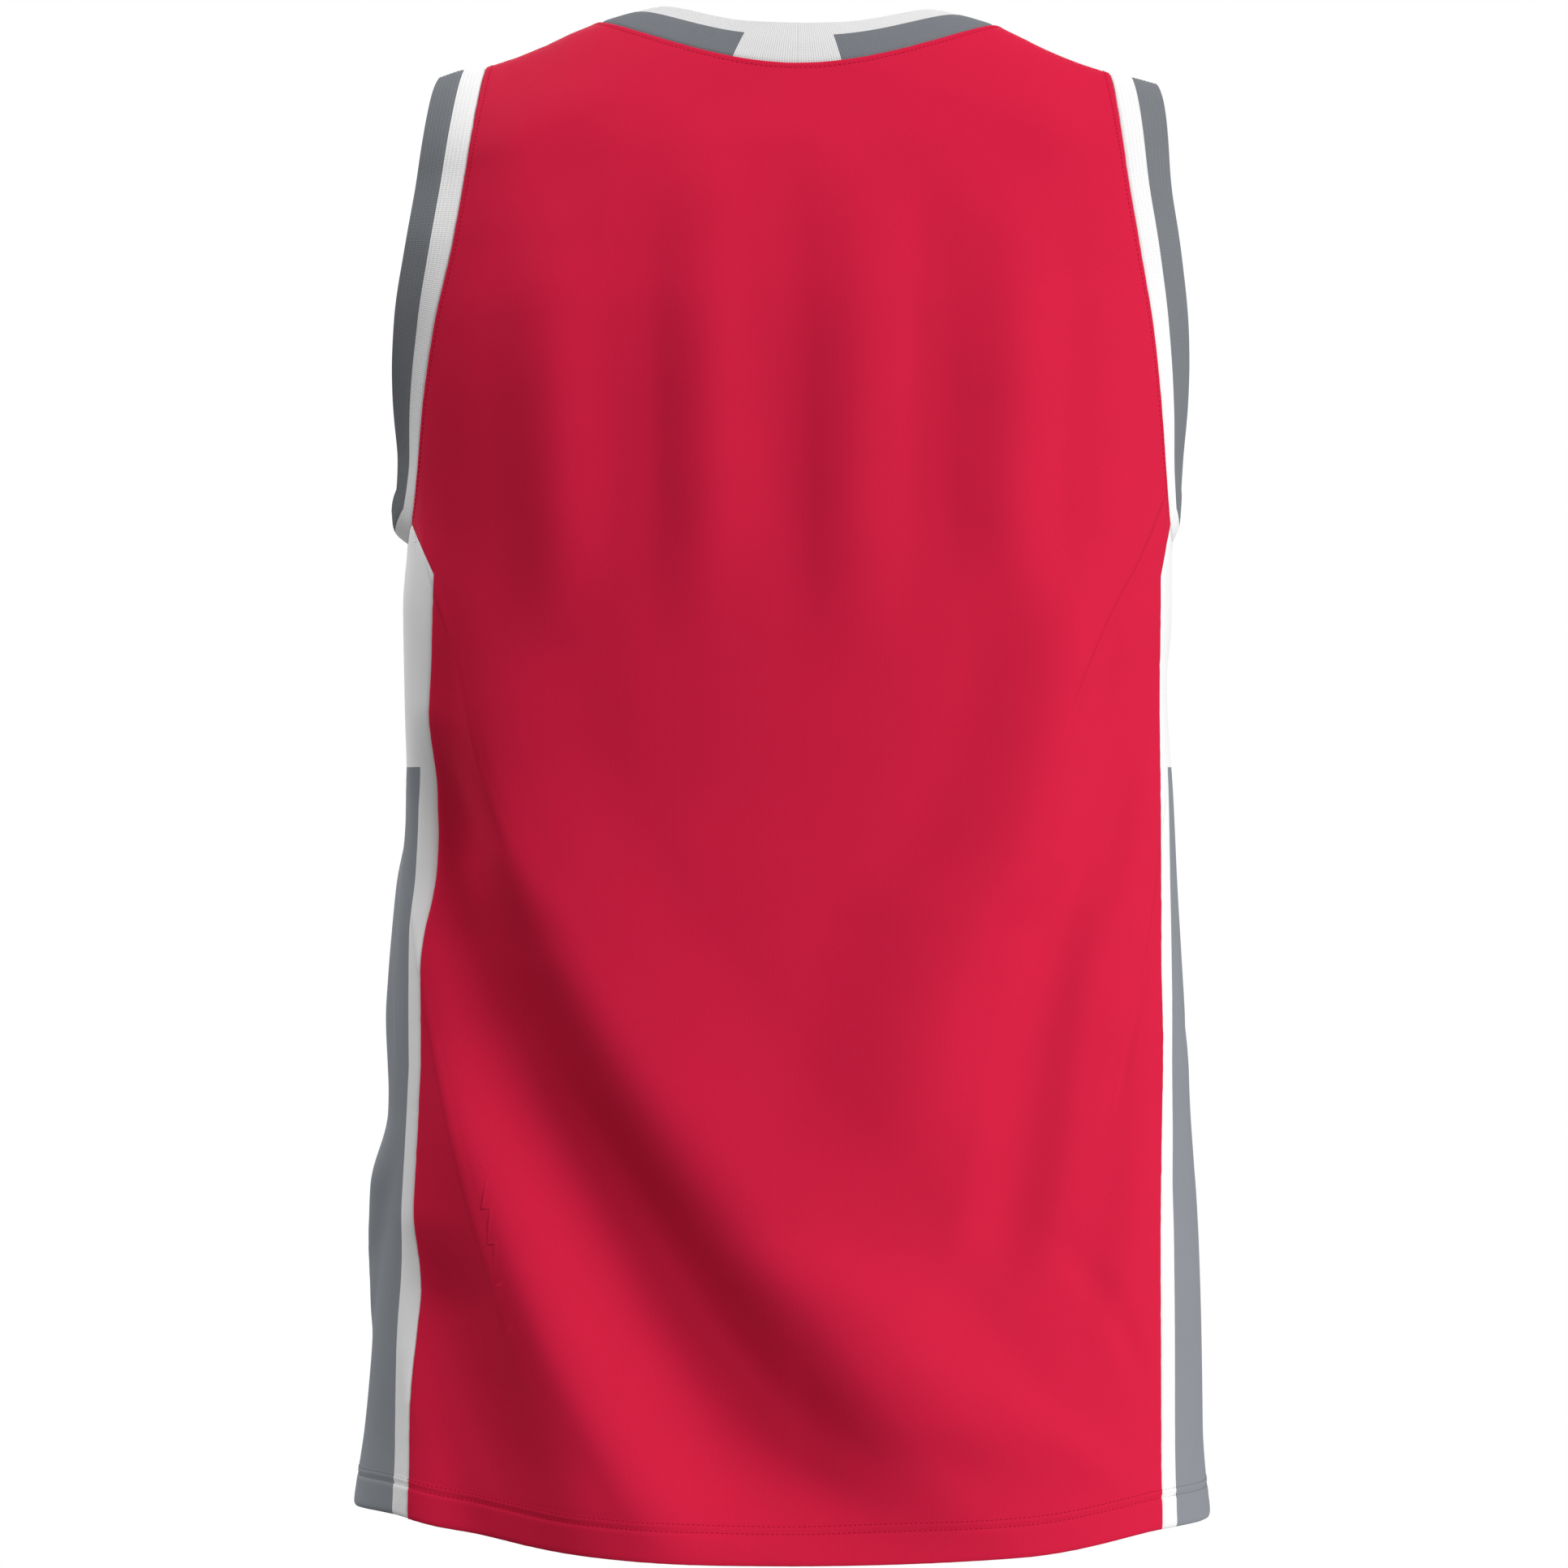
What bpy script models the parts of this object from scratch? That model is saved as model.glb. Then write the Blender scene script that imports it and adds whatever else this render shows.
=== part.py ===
"""A sleeveless basketball jersey, filled out as if worn, with no wearer inside it.

Seven cut pieces make it: a front and a back panel, two side panels, a neckband and two
armhole bands. Each piece is a closed cloth wall of its own. The frame is +Z up, with the back
of the jersey towards +Y and the wearer's left towards +X. The origin lies midway between the
two high shoulder points. A place on the body is a turn round it, in degrees from the centre
of the back towards the wearer's left, and a height.
"""

import math
from collections import namedtuple

import bmesh
import bpy
import numpy as np

MM = 0.001

# Cloth and seams
PANEL_WALL = 1.2 * MM
BAND_WALL = 1.8 * MM
HEM_WALL = 2.0 * MM
HEM_DEPTH = 18.0 * MM
HEM_STEP = 1.0 * MM
SEAM_GAP = 0.3 * MM

# Shoulders and neck, in metres from the origin
NECK_HALF_WIDTH = 101.0 * MM
NECK_DROP_BACK = 30.5 * MM
NECK_DROP_FRONT = 120.0 * MM
NECK_FRONT_ROUNDNESS = (2.2, 1.6)
NECK_COLUMN_SLOPE = 0.3
SHOULDER_ROUNDING = 55.0 * MM

# Levels round the body
UNDERARM = -258.0 * MM
UNDERARM_SAG = 9.0 * MM
GUSSET_BOTTOM = -285.0 * MM
STRIPE_TOP = -380.5 * MM
MEAN_HEM = -758.0 * MM
HEM_WAVE_TOP = -500.0 * MM

# Bands and stripes
NECKBAND_INNER_SHARE = 0.64
ARMBAND_INNER_SHARE = 0.46
NECK_BLOCK_WIDTH = 54.0 * MM
SIDE_STRIPE_MARGIN = 12.5 * MM

# The radius that turns round the body are laid out on when a fold's spread is measured
GIRTH_RADIUS = 170.0 * MM

# How finely each piece is divided
NECK_COLUMNS = 13
NECK_BLOCK_COLUMNS = 2
NECK_BEND_WEIGHT = 50.0 * MM
SHOULDER_COLUMNS = 4
SHOULDER_LOW_SHARE = 0.22
YOKE_ROWS = 14
YOKE_ROW_CROWDING = 1.5
YOKE_FAN_CROWDING = 0.75
STRIPE_COLUMNS = 6
ROW_PITCH = 23.0 * MM
BAND_INNER_ROWS = 2
BAND_OUTER_ROWS = 2
SEAM_SAMPLES = 121
FOLD_SLOPE_SPAN = 2.0 * MM
SHARP_EDGE = math.radians(50)

# Colours, as linear values
RED = (0.520, 0.012, 0.050)
WHITE = (0.830, 0.830, 0.830)
GREY = (0.200, 0.212, 0.230)
CLOTH_ROUGHNESS = 0.55

# The worn body at each height, in millimetres: half widths to the wearer's left and right,
# depths to the back and front, and how square the section is (2 is an ellipse)
Ring = namedtuple("Ring", "height left right back front squareness")
RINGS = (
    Ring(10, 186.0, 186.0, 40, 42, 2.2),
    Ring(-30, 187.0, 186.5, 63, 60, 2.2),
    Ring(-78, 189.5, 187.0, 95, 84, 2.2),
    Ring(-121, 198.0, 195.0, 113, 102, 2.2),
    Ring(-162, 201.5, 196.5, 124, 114, 2.25),
    Ring(-200, 200.5, 194.5, 128, 121, 2.3),
    Ring(-258, 198.4, 190.9, 130, 127, 2.3),
    Ring(-300, 201.2, 190.6, 129, 128, 2.3),
    Ring(-345, 200.6, 188.6, 127, 127, 2.25),
    Ring(-395, 199.3, 191.4, 125, 126, 2.2),
    Ring(-450, 204.0, 193.8, 126, 126, 2.2),
    Ring(-520, 207.5, 198.8, 129, 127, 2.15),
    Ring(-570, 209.5, 201.5, 132, 129, 2.15),
    Ring(-620, 213.0, 204.5, 135, 132, 2.1),
    Ring(-665, 216.5, 205.8, 138, 134, 2.1),
    Ring(-715, 220.5, 206.3, 141, 136, 2.1),
    Ring(-740, 224.0, 208.0, 143, 138, 2.1),
    Ring(-775, 228.5, 211.5, 144, 139, 2.1),
)

# How far the front and back panels reach to each side down the armholes, in millimetres
Armhole = namedtuple("Armhole", "height back_left back_right front_left front_right")
ARMHOLES = (
    Armhole(-26, 159.0, 159.0, 159.0, 159.0),
    Armhole(-78, 165.5, 164.1, 162.0, 160.5),
    Armhole(-121, 172.1, 170.2, 166.5, 164.5),
    Armhole(-162, 181.3, 177.0, 174.5, 171.5),
    Armhole(-200, 187.5, 181.6, 182.5, 178.0),
    Armhole(-240, 192.0, 185.8, 191.0, 184.0),
)

# The side panels below the armholes, in millimetres: where their back seams run to each side,
# and how wide they are cut. The back panel's corner cuts into them above the second row.
SideCut = namedtuple("SideCut", "height back_left back_right width")
SIDE_CUTS = (
    SideCut(-258, 194.8, 188.0, 62),
    SideCut(-285, 181.0, 181.7, 122),
    SideCut(-330, 182.5, 181.7, 126),
    SideCut(-400, 187.5, 182.0, 132),
    SideCut(-460, 189.0, 181.8, 137),
    SideCut(-530, 187.5, 180.4, 143),
    SideCut(-600, 191.5, 179.8, 149),
    SideCut(-660, 193.0, 179.8, 154),
    SideCut(-775, 193.4, 179.8, 164),
)

# The top of each shoulder from the neck out to its tip, in millimetres
Shoulder = namedtuple("Shoulder", "across left right")
SHOULDERS = (
    Shoulder(101, 0, -1.5),
    Shoulder(116, -6.0, -8.8),
    Shoulder(126, -10.8, -13.8),
    Shoulder(136, -15.0, -18.0),
    Shoulder(146, -18.8, -21.8),
    Shoulder(159, -23.0, -25.8),
)

# The height of the hem round the body, in millimetres
Hem = namedtuple("Hem", "turn height")
HEM = (
    Hem(-180, -763.0),
    Hem(-135, -761.0),
    Hem(-90, -761.0),
    Hem(-57, -757.0),
    Hem(-30, -762.5),
    Hem(0, -763.5),
    Hem(28, -760.5),
    Hem(50, -754.5),
    Hem(62, -751.0),
    Hem(90, -756.0),
    Hem(135, -760.0),
    Hem(180, -763.0),
)

# Folds, each along a path of turns in degrees and heights in millimetres. The depth is
# positive for a ridge and negative for a trough, and fades out towards both ends of the path.
# The reach is how far the fold spreads to the wearer's left and right of the path.
Fold = namedtuple("Fold", "path depth reach_left reach_right")
FOLDS = (
    # the long drag folds from the left underarm across the back
    Fold(((66, -350), (60, -425), (50, -475), (39, -535), (26, -600), (16, -660), (5, -720), (-10, -780)), -17.0, 47, 60),
    Fold(((48, -280), (46, -370), (38, -435), (26, -500), (14, -560), (2, -620), (-8, -670), (-20, -720)), 7.0, 36, 64),
    Fold(((56, -500), (48, -570), (36, -645), (25, -710), (17, -770), (13, -840)), 5.0, 44, 42),
    Fold(((62, -600), (56, -650), (49, -700), (45, -745), (42, -800), (40, -840)), -11.0, 38, 58),
    # the right half of the back
    Fold(((-41, -260), (-38, -340), (-30, -420), (-21, -460), (-15, -520), (-11, -600)), 8.0, 50, 44),
    Fold(((-64, -340), (-53, -410), (-40, -465), (-34, -530), (-30, -590), (-26, -650)), -4.5, 28, 26),
    Fold(((2, -600), (-8, -640), (-22, -695), (-40, -740)), 5.0, 38, 40),
    Fold(((-66, -470), (-58, -540), (-52, -620), (-48, -700)), 3.0, 28, 30),
    # the soft upright waves between the shoulder blades
    Fold(((35, -70), (34, -150), (33, -250), (34, -330)), 6.0, 40, 30),
    Fold(((11, -50), (11, -110), (10, -230), (11, -340)), 5.5, 24, 22),
    Fold(((-7, -55), (-7, -120), (-6, -240), (-6, -350)), 5.0, 22, 26),
    Fold(((-30, -60), (-30, -130), (-29, -240), (-32, -330)), 6.0, 34, 36),
    # the side panels
    Fold(((104, -390), (97, -440), (92, -500), (88, -550)), 4.0, 34, 34),
    Fold(((84, -555), (90, -595), (96, -640), (102, -690)), 7.5, 44, 40),
    Fold(((100, -500), (106, -570), (114, -640), (120, -700)), -3.5, 24, 26),
    Fold(((-84, -300), (-92, -350), (-98, -420)), -2.5, 28, 28),
    Fold(((-86, -520), (-94, -600), (-100, -700)), -2.5, 26, 28),
    # the front
    Fold(((-120, -290), (-132, -430), (-146, -530), (-164, -640), (-184, -730)), -9.0, 42, 76),
    Fold(((-114, -470), (-130, -600), (-144, -700), (-152, -790), (-154, -840)), 5.0, 48, 42),
    Fold(((-110, -600), (-124, -690), (-134, -780), (-138, -840)), -6.0, 40, 40),
    Fold(((126, -300), (138, -420), (152, -540), (162, -640)), -6.0, 50, 42),
    Fold(((122, -470), (140, -590), (152, -690), (158, -790), (160, -840)), 4.5, 45, 48),
    Fold(((116, -620), (130, -700), (138, -780), (140, -840)), -4.5, 40, 42),
    Fold(((146, -100), (150, -170), (153, -240), (154, -330)), 2.6, 28, 32),
    Fold(((-147, -100), (-150, -170), (-154, -250), (-158, -350)), 2.4, 32, 28),
    Fold(((178, -170), (179, -230), (181, -310), (184, -420)), -2.8, 34, 34),
)

# How each band leans off its panel, in degrees away from the body, on its inner stripe beside
# the seam and on its outer stripe, and its width in millimetres, by the share of the way
# round the opening. The neck starts at the centre of the back, an armhole at the shoulder.
# The band of the right armhole leans out less.
Lean = namedtuple("Lean", "share inner outer width")
ARM_LEAN_SHARES = {1: 1.0, -1: 0.45}
NECK_LEANS = (
    Lean(0.00, -3, -12, 30.5),
    Lean(0.25, -4, -8, 30.5),
    Lean(0.50, 0, -4, 30.5),
    Lean(0.75, -4, -8, 30.5),
    Lean(1.00, -3, -12, 30.5),
)
ARM_LEANS = (
    Lean(0.000, 12, -4, 24.5),
    Lean(0.060, 14, 0, 26.5),
    Lean(0.130, 17, 8, 28.5),
    Lean(0.205, 21, 12, 28.5),
    Lean(0.280, 4, 20, 28.5),
    Lean(0.345, -2, 7, 28.5),
    Lean(0.400, -8, 1, 28.0),
    Lean(0.440, 2, 0, 24.5),
    Lean(0.470, 40, 6, 20.5),
    Lean(0.500, 56, 8, 20.0),
    Lean(0.530, 40, 6, 20.5),
    Lean(0.560, 2, 0, 24.5),
    Lean(0.600, -8, -4, 28.0),
    Lean(0.660, 0, 6, 28.5),
    Lean(0.800, 14, 12, 28.5),
    Lean(0.940, 14, 0, 26.5),
    Lean(1.000, 12, -4, 24.5),
)


def smooth_curve(places, values):
    """Return a smooth function through the knots that doesn't overshoot them."""
    x = np.asarray(places, dtype=float)
    y = np.asarray(values, dtype=float)
    if x[0] > x[-1]:
        x, y = x[::-1], y[::-1]
    step = np.diff(x)
    slope = np.diff(y) / step
    tangent = np.zeros(len(x))
    tangent[0], tangent[-1] = slope[0], slope[-1]
    product = slope[:-1] * slope[1:]
    total = slope[:-1] + slope[1:]
    np.divide(2 * product, total, out=tangent[1:-1], where=product > 0)

    def value(at):
        at = np.clip(at, x[0], x[-1])
        k = np.clip(np.searchsorted(x, at, side="right") - 1, 0, len(x) - 2)
        t = (at - x[k]) / step[k]
        start = (1 + 2 * t) * (1 - t) ** 2 * y[k] + t * (1 - t) ** 2 * step[k] * tangent[k]
        end = t * t * (3 - 2 * t) * y[k + 1] - t * t * (1 - t) * step[k] * tangent[k + 1]
        return start + end

    return value


def column_curve(rows, column, key="height", scale=MM, key_scale=MM):
    """A smooth curve of one named column of a table."""
    places = [getattr(row, key) * key_scale for row in rows]
    return smooth_curve(places, [getattr(row, column) * scale for row in rows])


RING_LEFT = column_curve(RINGS, "left")
RING_RIGHT = column_curve(RINGS, "right")
RING_BACK = column_curve(RINGS, "back")
RING_FRONT = column_curve(RINGS, "front")
RING_SQUARENESS = column_curve(RINGS, "squareness", scale=1)
SHOULDER_LEFT = column_curve(SHOULDERS, "left", key="across")
SHOULDER_RIGHT = column_curve(SHOULDERS, "right", key="across")
HEM_HEIGHT = column_curve(HEM, "height", key="turn", key_scale=math.pi / 180)


def smooth_step(at):
    at = np.clip(at, 0, 1)
    return at * at * (3 - 2 * at)


def unit(vectors):
    return vectors / np.linalg.norm(vectors, axis=-1, keepdims=True)


def square_to(vectors, line):
    """The part of each vector that is square to its line, at unit length."""
    return unit(vectors - line * np.sum(vectors * line, axis=-1, keepdims=True))


def mitre(before, after):
    """The step that moves a corner one unit away from the runs on both sides of it."""
    return (before + after) / (1 + np.sum(before * after, axis=-1, keepdims=True))


def shoulder_height(x):
    """The height of the shoulder ridge, carried on up into the neck."""
    across = np.abs(x)
    neck = NECK_COLUMN_SLOPE * np.clip(NECK_HALF_WIDTH - across, 0, None)
    return np.where(x >= 0, SHOULDER_LEFT(across), SHOULDER_RIGHT(across)) + neck


def body_point(turn, height):
    """The smooth outer face of the worn cloth, without its folds."""
    side, depth = np.sin(turn), np.cos(turn)
    half_width = np.where(side >= 0, RING_LEFT(height), RING_RIGHT(height))
    half_depth = np.where(depth >= 0, RING_BACK(height), RING_FRONT(height))
    power = 2 / RING_SQUARENESS(height)
    x = half_width * np.sign(side) * np.abs(side) ** power
    y = half_depth * np.sign(depth) * np.abs(depth) ** power
    drop = np.clip((shoulder_height(x) - height) / SHOULDER_ROUNDING, 0, 1)
    y = y * np.sqrt(1 - (1 - drop) ** 2)
    return np.stack(np.broadcast_arrays(x, y, height), axis=-1)


def turn_at(x, height, facing):
    """The turn of a point at x on the back (facing 1) or the front (facing -1)."""
    half_width = np.where(x >= 0, RING_LEFT(height), RING_RIGHT(height))
    share = np.clip(np.abs(x) / half_width, 0, 1)
    turn = np.arcsin(share ** (RING_SQUARENESS(height) / 2)) * np.where(x >= 0, 1, -1)
    return turn if facing > 0 else math.pi * np.where(x >= 0, 1, -1) - turn


def side_cut(column, height):
    """One column of the side panels' cut at a height, straight between its rows."""
    heights = [row.height * MM for row in reversed(SIDE_CUTS)]
    return np.interp(height, heights, [getattr(row, column) * MM for row in reversed(SIDE_CUTS)])


def side_name(side):
    return "left" if side > 0 else "right"


def seam_turns(side, height):
    """The turns of a side panel's back and front seams: it is wrapped round at its cut width."""
    back_x = side * side_cut("back_" + side_name(side), height)
    start = turn_at(back_x, height, 1)
    fine = start + side * np.linspace(0, math.pi / 2, SEAM_SAMPLES)
    steps = np.linalg.norm(np.diff(body_point(fine, height), axis=0), axis=1)
    along = np.concatenate([[0], np.cumsum(steps)])
    return start, np.interp(side_cut("width", height), along, fine)


def seam_reach(facing, side, height):
    """How far the front or back panel reaches to one side at its side seam."""
    turn = seam_turns(side, height)[0 if facing > 0 else 1]
    return abs(body_point(turn, height)[0])


def armhole_reach(facing, side):
    """How far the front or back panel reaches to one side down its armhole."""
    column = ("back_" if facing > 0 else "front_") + side_name(side)
    heights = [row.height * MM for row in ARMHOLES] + [UNDERARM]
    reaches = [getattr(row, column) * MM for row in ARMHOLES]
    return smooth_curve(heights, reaches + [seam_reach(facing, side, UNDERARM)])


def fold_path(fold):
    """The turn along a fold at a height, and how much of its depth it has there."""
    turns = [math.radians(turn) for turn, _ in fold.path]
    heights = [height * MM for _, height in fold.path]
    turn_along = smooth_curve(heights, turns)
    top, first, last, bottom = heights[0], heights[1], heights[-2], heights[-1]

    def strength(height):
        fade_in = smooth_step((top - height) / (top - first))
        fade_out = smooth_step((height - bottom) / (last - bottom))
        return fade_in * fade_out

    return turn_along, strength


FOLD_PATHS = [(fold, *fold_path(fold)) for fold in FOLDS]


def fold_offset(turn, height):
    """How far the folds lift the cloth off the smooth body, or sink it."""
    offset = np.zeros(np.broadcast(turn, height).shape)
    above, below = height + FOLD_SLOPE_SPAN / 2, height - FOLD_SLOPE_SPAN / 2
    for fold, turn_along, strength in FOLD_PATHS:
        away = turn - turn_along(height)
        away = ((away + math.pi) % (2 * math.pi) - math.pi) * GIRTH_RADIUS
        lean = (turn_along(above) - turn_along(below)) / FOLD_SLOPE_SPAN * GIRTH_RADIUS
        away = away / np.sqrt(1 + lean**2)
        reach = np.where(away >= 0, fold.reach_left, fold.reach_right) * MM
        bell = np.cos(np.clip(away / reach, -1, 1) * math.pi / 2) ** 2
        offset = offset + fold.depth * MM * bell * strength(height)
    return offset


def body_rows():
    """Heights of the rows from the underarm to the hem, at the seams' own levels."""
    levels = [UNDERARM, GUSSET_BOTTOM, STRIPE_TOP, MEAN_HEM + HEM_DEPTH + HEM_STEP]
    rows = [UNDERARM]
    for above, below in zip(levels[:-1], levels[1:]):
        count = max(1, round((above - below) / ROW_PITCH))
        rows += [above + (below - above) * k / count for k in range(1, count + 1)]
    return np.array(rows + [MEAN_HEM + HEM_DEPTH, MEAN_HEM + HEM_DEPTH / 2, MEAN_HEM])


BODY_ROWS = body_rows()


def wall_depths():
    """The wall at each body row: one layer, and the folded hem at the bottom."""
    in_hem = BODY_ROWS < MEAN_HEM + HEM_DEPTH + HEM_STEP / 2
    return np.where(in_hem, HEM_WALL, PANEL_WALL)


def follow_hem(turn, height):
    """Rows near the hem rise and fall with it."""
    share = smooth_step((HEM_WAVE_TOP - height) / (HEM_WAVE_TOP - MEAN_HEM))
    return height + (HEM_HEIGHT(turn) - MEAN_HEM) * share


def neckline(facing, angle):
    """How far across and how far down the neck seam is at an angle from its centre.

    The angle is 0 at the centre of the back or front and a quarter turn at the high shoulder
    point.
    """
    if facing > 0:
        x = NECK_HALF_WIDTH * np.sin(angle)
        return x, NECK_DROP_BACK * np.cos(math.pi / 2 * np.sin(angle))
    across, down = NECK_FRONT_ROUNDNESS
    x = NECK_HALF_WIDTH * np.sin(angle) ** (2 / across)
    return x, NECK_DROP_FRONT * np.abs(np.cos(angle)) ** (2 / down)


def neck_edge(facing, side, angles):
    """How far out and how high the neck seam is on one side, at angles from its centre."""
    x, drop = neckline(facing, angles)
    return x, shoulder_height(side * NECK_HALF_WIDTH) * np.sin(angles) ** 2 - drop


def neck_angles(facing, side):
    """The angles of the neck's columns: closer together where the seam bends more."""
    block_angle = math.asin(NECK_BLOCK_WIDTH / 2 / NECK_HALF_WIDTH)
    fine = np.linspace(block_angle, math.pi / 2, SEAM_SAMPLES)
    x, height = neck_edge(facing, side, fine)
    runs = np.diff(body_point(turn_at(side * x, height, facing), height), axis=0)
    lengths = np.linalg.norm(runs, axis=1)
    bends = np.linalg.norm(np.diff(unit(runs), axis=0), axis=1)
    steps = lengths + NECK_BEND_WEIGHT * np.concatenate([[0], bends])
    along = np.concatenate([[0], np.cumsum(steps)])
    outside = np.interp(np.linspace(0, along[-1], NECK_COLUMNS - NECK_BLOCK_COLUMNS + 1), along, fine)
    return np.concatenate([np.linspace(0, block_angle, NECK_BLOCK_COLUMNS + 1)[:-1], outside])


def top_edge(facing, side):
    """The top of a panel's half, from the centre of the neck out to the shoulder tip."""
    neck_x, neck_height = neck_edge(facing, side, neck_angles(facing, side))
    tip = SHOULDERS[-1].across * MM
    shoulder_x = np.linspace(NECK_HALF_WIDTH, tip, SHOULDER_COLUMNS + 1)[1:]
    x = np.concatenate([neck_x, shoulder_x])
    return x, np.concatenate([neck_height, shoulder_height(side * shoulder_x)])


def panel_places(facing):
    """Turns and heights of the front or back panel's grid, top row first, right edge first."""
    tip_reach = SHOULDERS[-1].across * MM
    halves = []
    for side in (-1, 1):
        edge_x, edge_height = top_edge(facing, side)
        armhole = armhole_reach(facing, side)
        top_share = edge_x / tip_reach
        corner = [0, NECK_HALF_WIDTH / tip_reach, 1]
        low_share = np.interp(top_share, corner, [0, 1 - SHOULDER_LOW_SHARE, 1])
        turns, heights = [], []
        for step in np.arange(YOKE_ROWS) / YOKE_ROWS:
            height = edge_height + (UNDERARM - edge_height) * step**YOKE_ROW_CROWDING
            share = top_share + (low_share - top_share) * step**YOKE_FAN_CROWDING
            x = side * share * armhole(height)
            turns.append(turn_at(x, height, facing))
            heights.append(height)
        for row in BODY_ROWS:
            x = side * low_share * seam_reach(facing, side, row)
            turn = turn_at(x, row, facing)
            turns.append(turn)
            heights.append(follow_hem(turn, np.full(len(turn), row)))
        halves.append((np.array(turns), np.array(heights)))
    turn = np.hstack([halves[0][0][:, :0:-1], halves[1][0]])
    height = np.hstack([halves[0][1][:, :0:-1], halves[1][1]])
    return turn, height


def side_places(side):
    """Turns and heights of a side panel's grid, underarm row first, back seam first."""
    turns, heights = [], []
    for row in BODY_ROWS:
        start, end = seam_turns(side, row)
        fine = np.linspace(start, end, SEAM_SAMPLES)
        steps = np.linalg.norm(np.diff(body_point(fine, row), axis=0), axis=1)
        along = np.concatenate([[0], np.cumsum(steps)])
        inner = np.linspace(SIDE_STRIPE_MARGIN, along[-1] - SIDE_STRIPE_MARGIN, STRIPE_COLUMNS + 1)
        places = np.concatenate([[0], inner, [along[-1]]])
        turn = np.interp(places, along, fine)
        sag = UNDERARM_SAG * np.clip((row - GUSSET_BOTTOM) / (UNDERARM - GUSSET_BOTTOM), 0, 1)
        height = row - sag * np.sin(math.pi * places / along[-1])
        turns.append(turn)
        heights.append(follow_hem(turn, height))
    return np.array(turns), np.array(heights)


def grid_normals(points):
    """Outward unit normals of a grid of points."""
    across = np.gradient(points, axis=1)
    down = np.gradient(points, axis=0)
    normal = unit(np.cross(across, down))
    middle = points.reshape(-1, 3).mean(axis=0) * (1, 0, 1)
    outward = np.sum(normal * (points - middle), axis=2).sum()
    return normal if outward > 0 else -normal


class Sheet:
    """One panel's outer face: a grid of points with their normals."""

    def __init__(self, turn, height):
        self.turn = turn
        self.height = height
        self.points = body_point(turn, height)
        self.normals = grid_normals(self.points)

    def lift_folds(self):
        offset = fold_offset(self.turn, self.height)
        self.points = self.points + self.normals * offset[..., None]
        self.normals = grid_normals(self.points)


def share_border(first, first_index, second, second_index):
    """Give two panels the same normals along the seam between them."""
    shared = unit(first.normals[first_index] + second.normals[second_index])
    first.normals[first_index] = shared
    second.normals[second_index] = shared


def make_sheets():
    """The four panels' outer faces, with common normals along their seams."""
    sheets = {
        "back_panel": Sheet(*panel_places(1)),
        "front_panel": Sheet(*panel_places(-1)),
        "side_panel_left": Sheet(*side_places(1)),
        "side_panel_right": Sheet(*side_places(-1)),
    }
    back, front = sheets["back_panel"], sheets["front_panel"]
    body = slice(YOKE_ROWS, None)
    shoulder_right = (0, slice(0, SHOULDER_COLUMNS + 1))
    shoulder_left = (0, slice(-SHOULDER_COLUMNS - 1, None))

    def share_all():
        for name, column in (("side_panel_left", -1), ("side_panel_right", 0)):
            share_border(back, (body, column), sheets[name], (slice(None), 0))
            share_border(front, (body, column), sheets[name], (slice(None), -1))
        for shoulder in (shoulder_right, shoulder_left):
            share_border(back, shoulder, front, shoulder)

    share_all()
    for sheet in sheets.values():
        sheet.lift_folds()
    share_all()
    return sheets


def ways_in(border, inside, normals):
    """For each run between neighbouring border points, the way into the piece along its face."""
    line = unit(np.diff(border, axis=0))
    across = unit(np.cross(line, normals[:-1] + normals[1:]))
    inward = (inside - border)[:-1] + (inside - border)[1:]
    return across * np.sign(np.sum(across * inward, axis=-1, keepdims=True))


def pull_borders(sheet):
    """The sheet's points, with its borders moved half a seam gap into the piece."""
    pulled = sheet.points.copy()
    for turned in (False, True):
        grids = (pulled, sheet.points, sheet.normals)
        view, points, normals = (grid.swapaxes(0, 1) if turned else grid for grid in grids)
        for border, inside in ((0, 1), (-1, -2)):
            ways = ways_in(points[border], points[inside], normals[border])
            before = np.concatenate([ways[:1], ways])
            after = np.concatenate([ways, ways[-1:]])
            view[border] += mitre(before, after) * SEAM_GAP / 2
    return pulled


def wall_object(name, outer, inner, closed, materials, face_material):
    """Build a cloth wall between an outer and an inner grid, as one closed mesh."""
    rows, columns = outer.shape[:2]
    runs = columns if closed else columns - 1
    mesh = bmesh.new()
    layers = [[mesh.verts.new(p) for p in grid.reshape(-1, 3)] for grid in (outer, inner)]

    def add_face(tone, *corners):
        vertices = [layers[layer][i * columns + j % columns] for layer, i, j in corners]
        mesh.faces.new(vertices).material_index = tone

    for i in range(rows - 1):
        for j in range(runs):
            tone = face_material(i, j)
            for layer in (0, 1):
                add_face(tone, (layer, i, j), (layer, i, j + 1), (layer, i + 1, j + 1), (layer, i + 1, j))
    for i, beside in ((0, 0), (rows - 1, rows - 2)):
        for j in range(runs):
            add_face(face_material(beside, j), (0, i, j), (0, i, j + 1), (1, i, j + 1), (1, i, j))
    if not closed:
        for j, beside in ((0, 0), (columns - 1, columns - 2)):
            for i in range(rows - 1):
                add_face(face_material(i, beside), (0, i, j), (0, i + 1, j), (1, i + 1, j), (1, i, j))
    bmesh.ops.recalc_face_normals(mesh, faces=mesh.faces)
    data = bpy.data.meshes.new(name)
    mesh.to_mesh(data)
    mesh.free()
    data.shade_smooth()
    data.set_sharp_from_angle(angle=SHARP_EDGE)
    for material in materials:
        data.materials.append(material)
    obj = bpy.data.objects.new(name, data)
    bpy.context.collection.objects.link(obj)
    return obj


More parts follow.
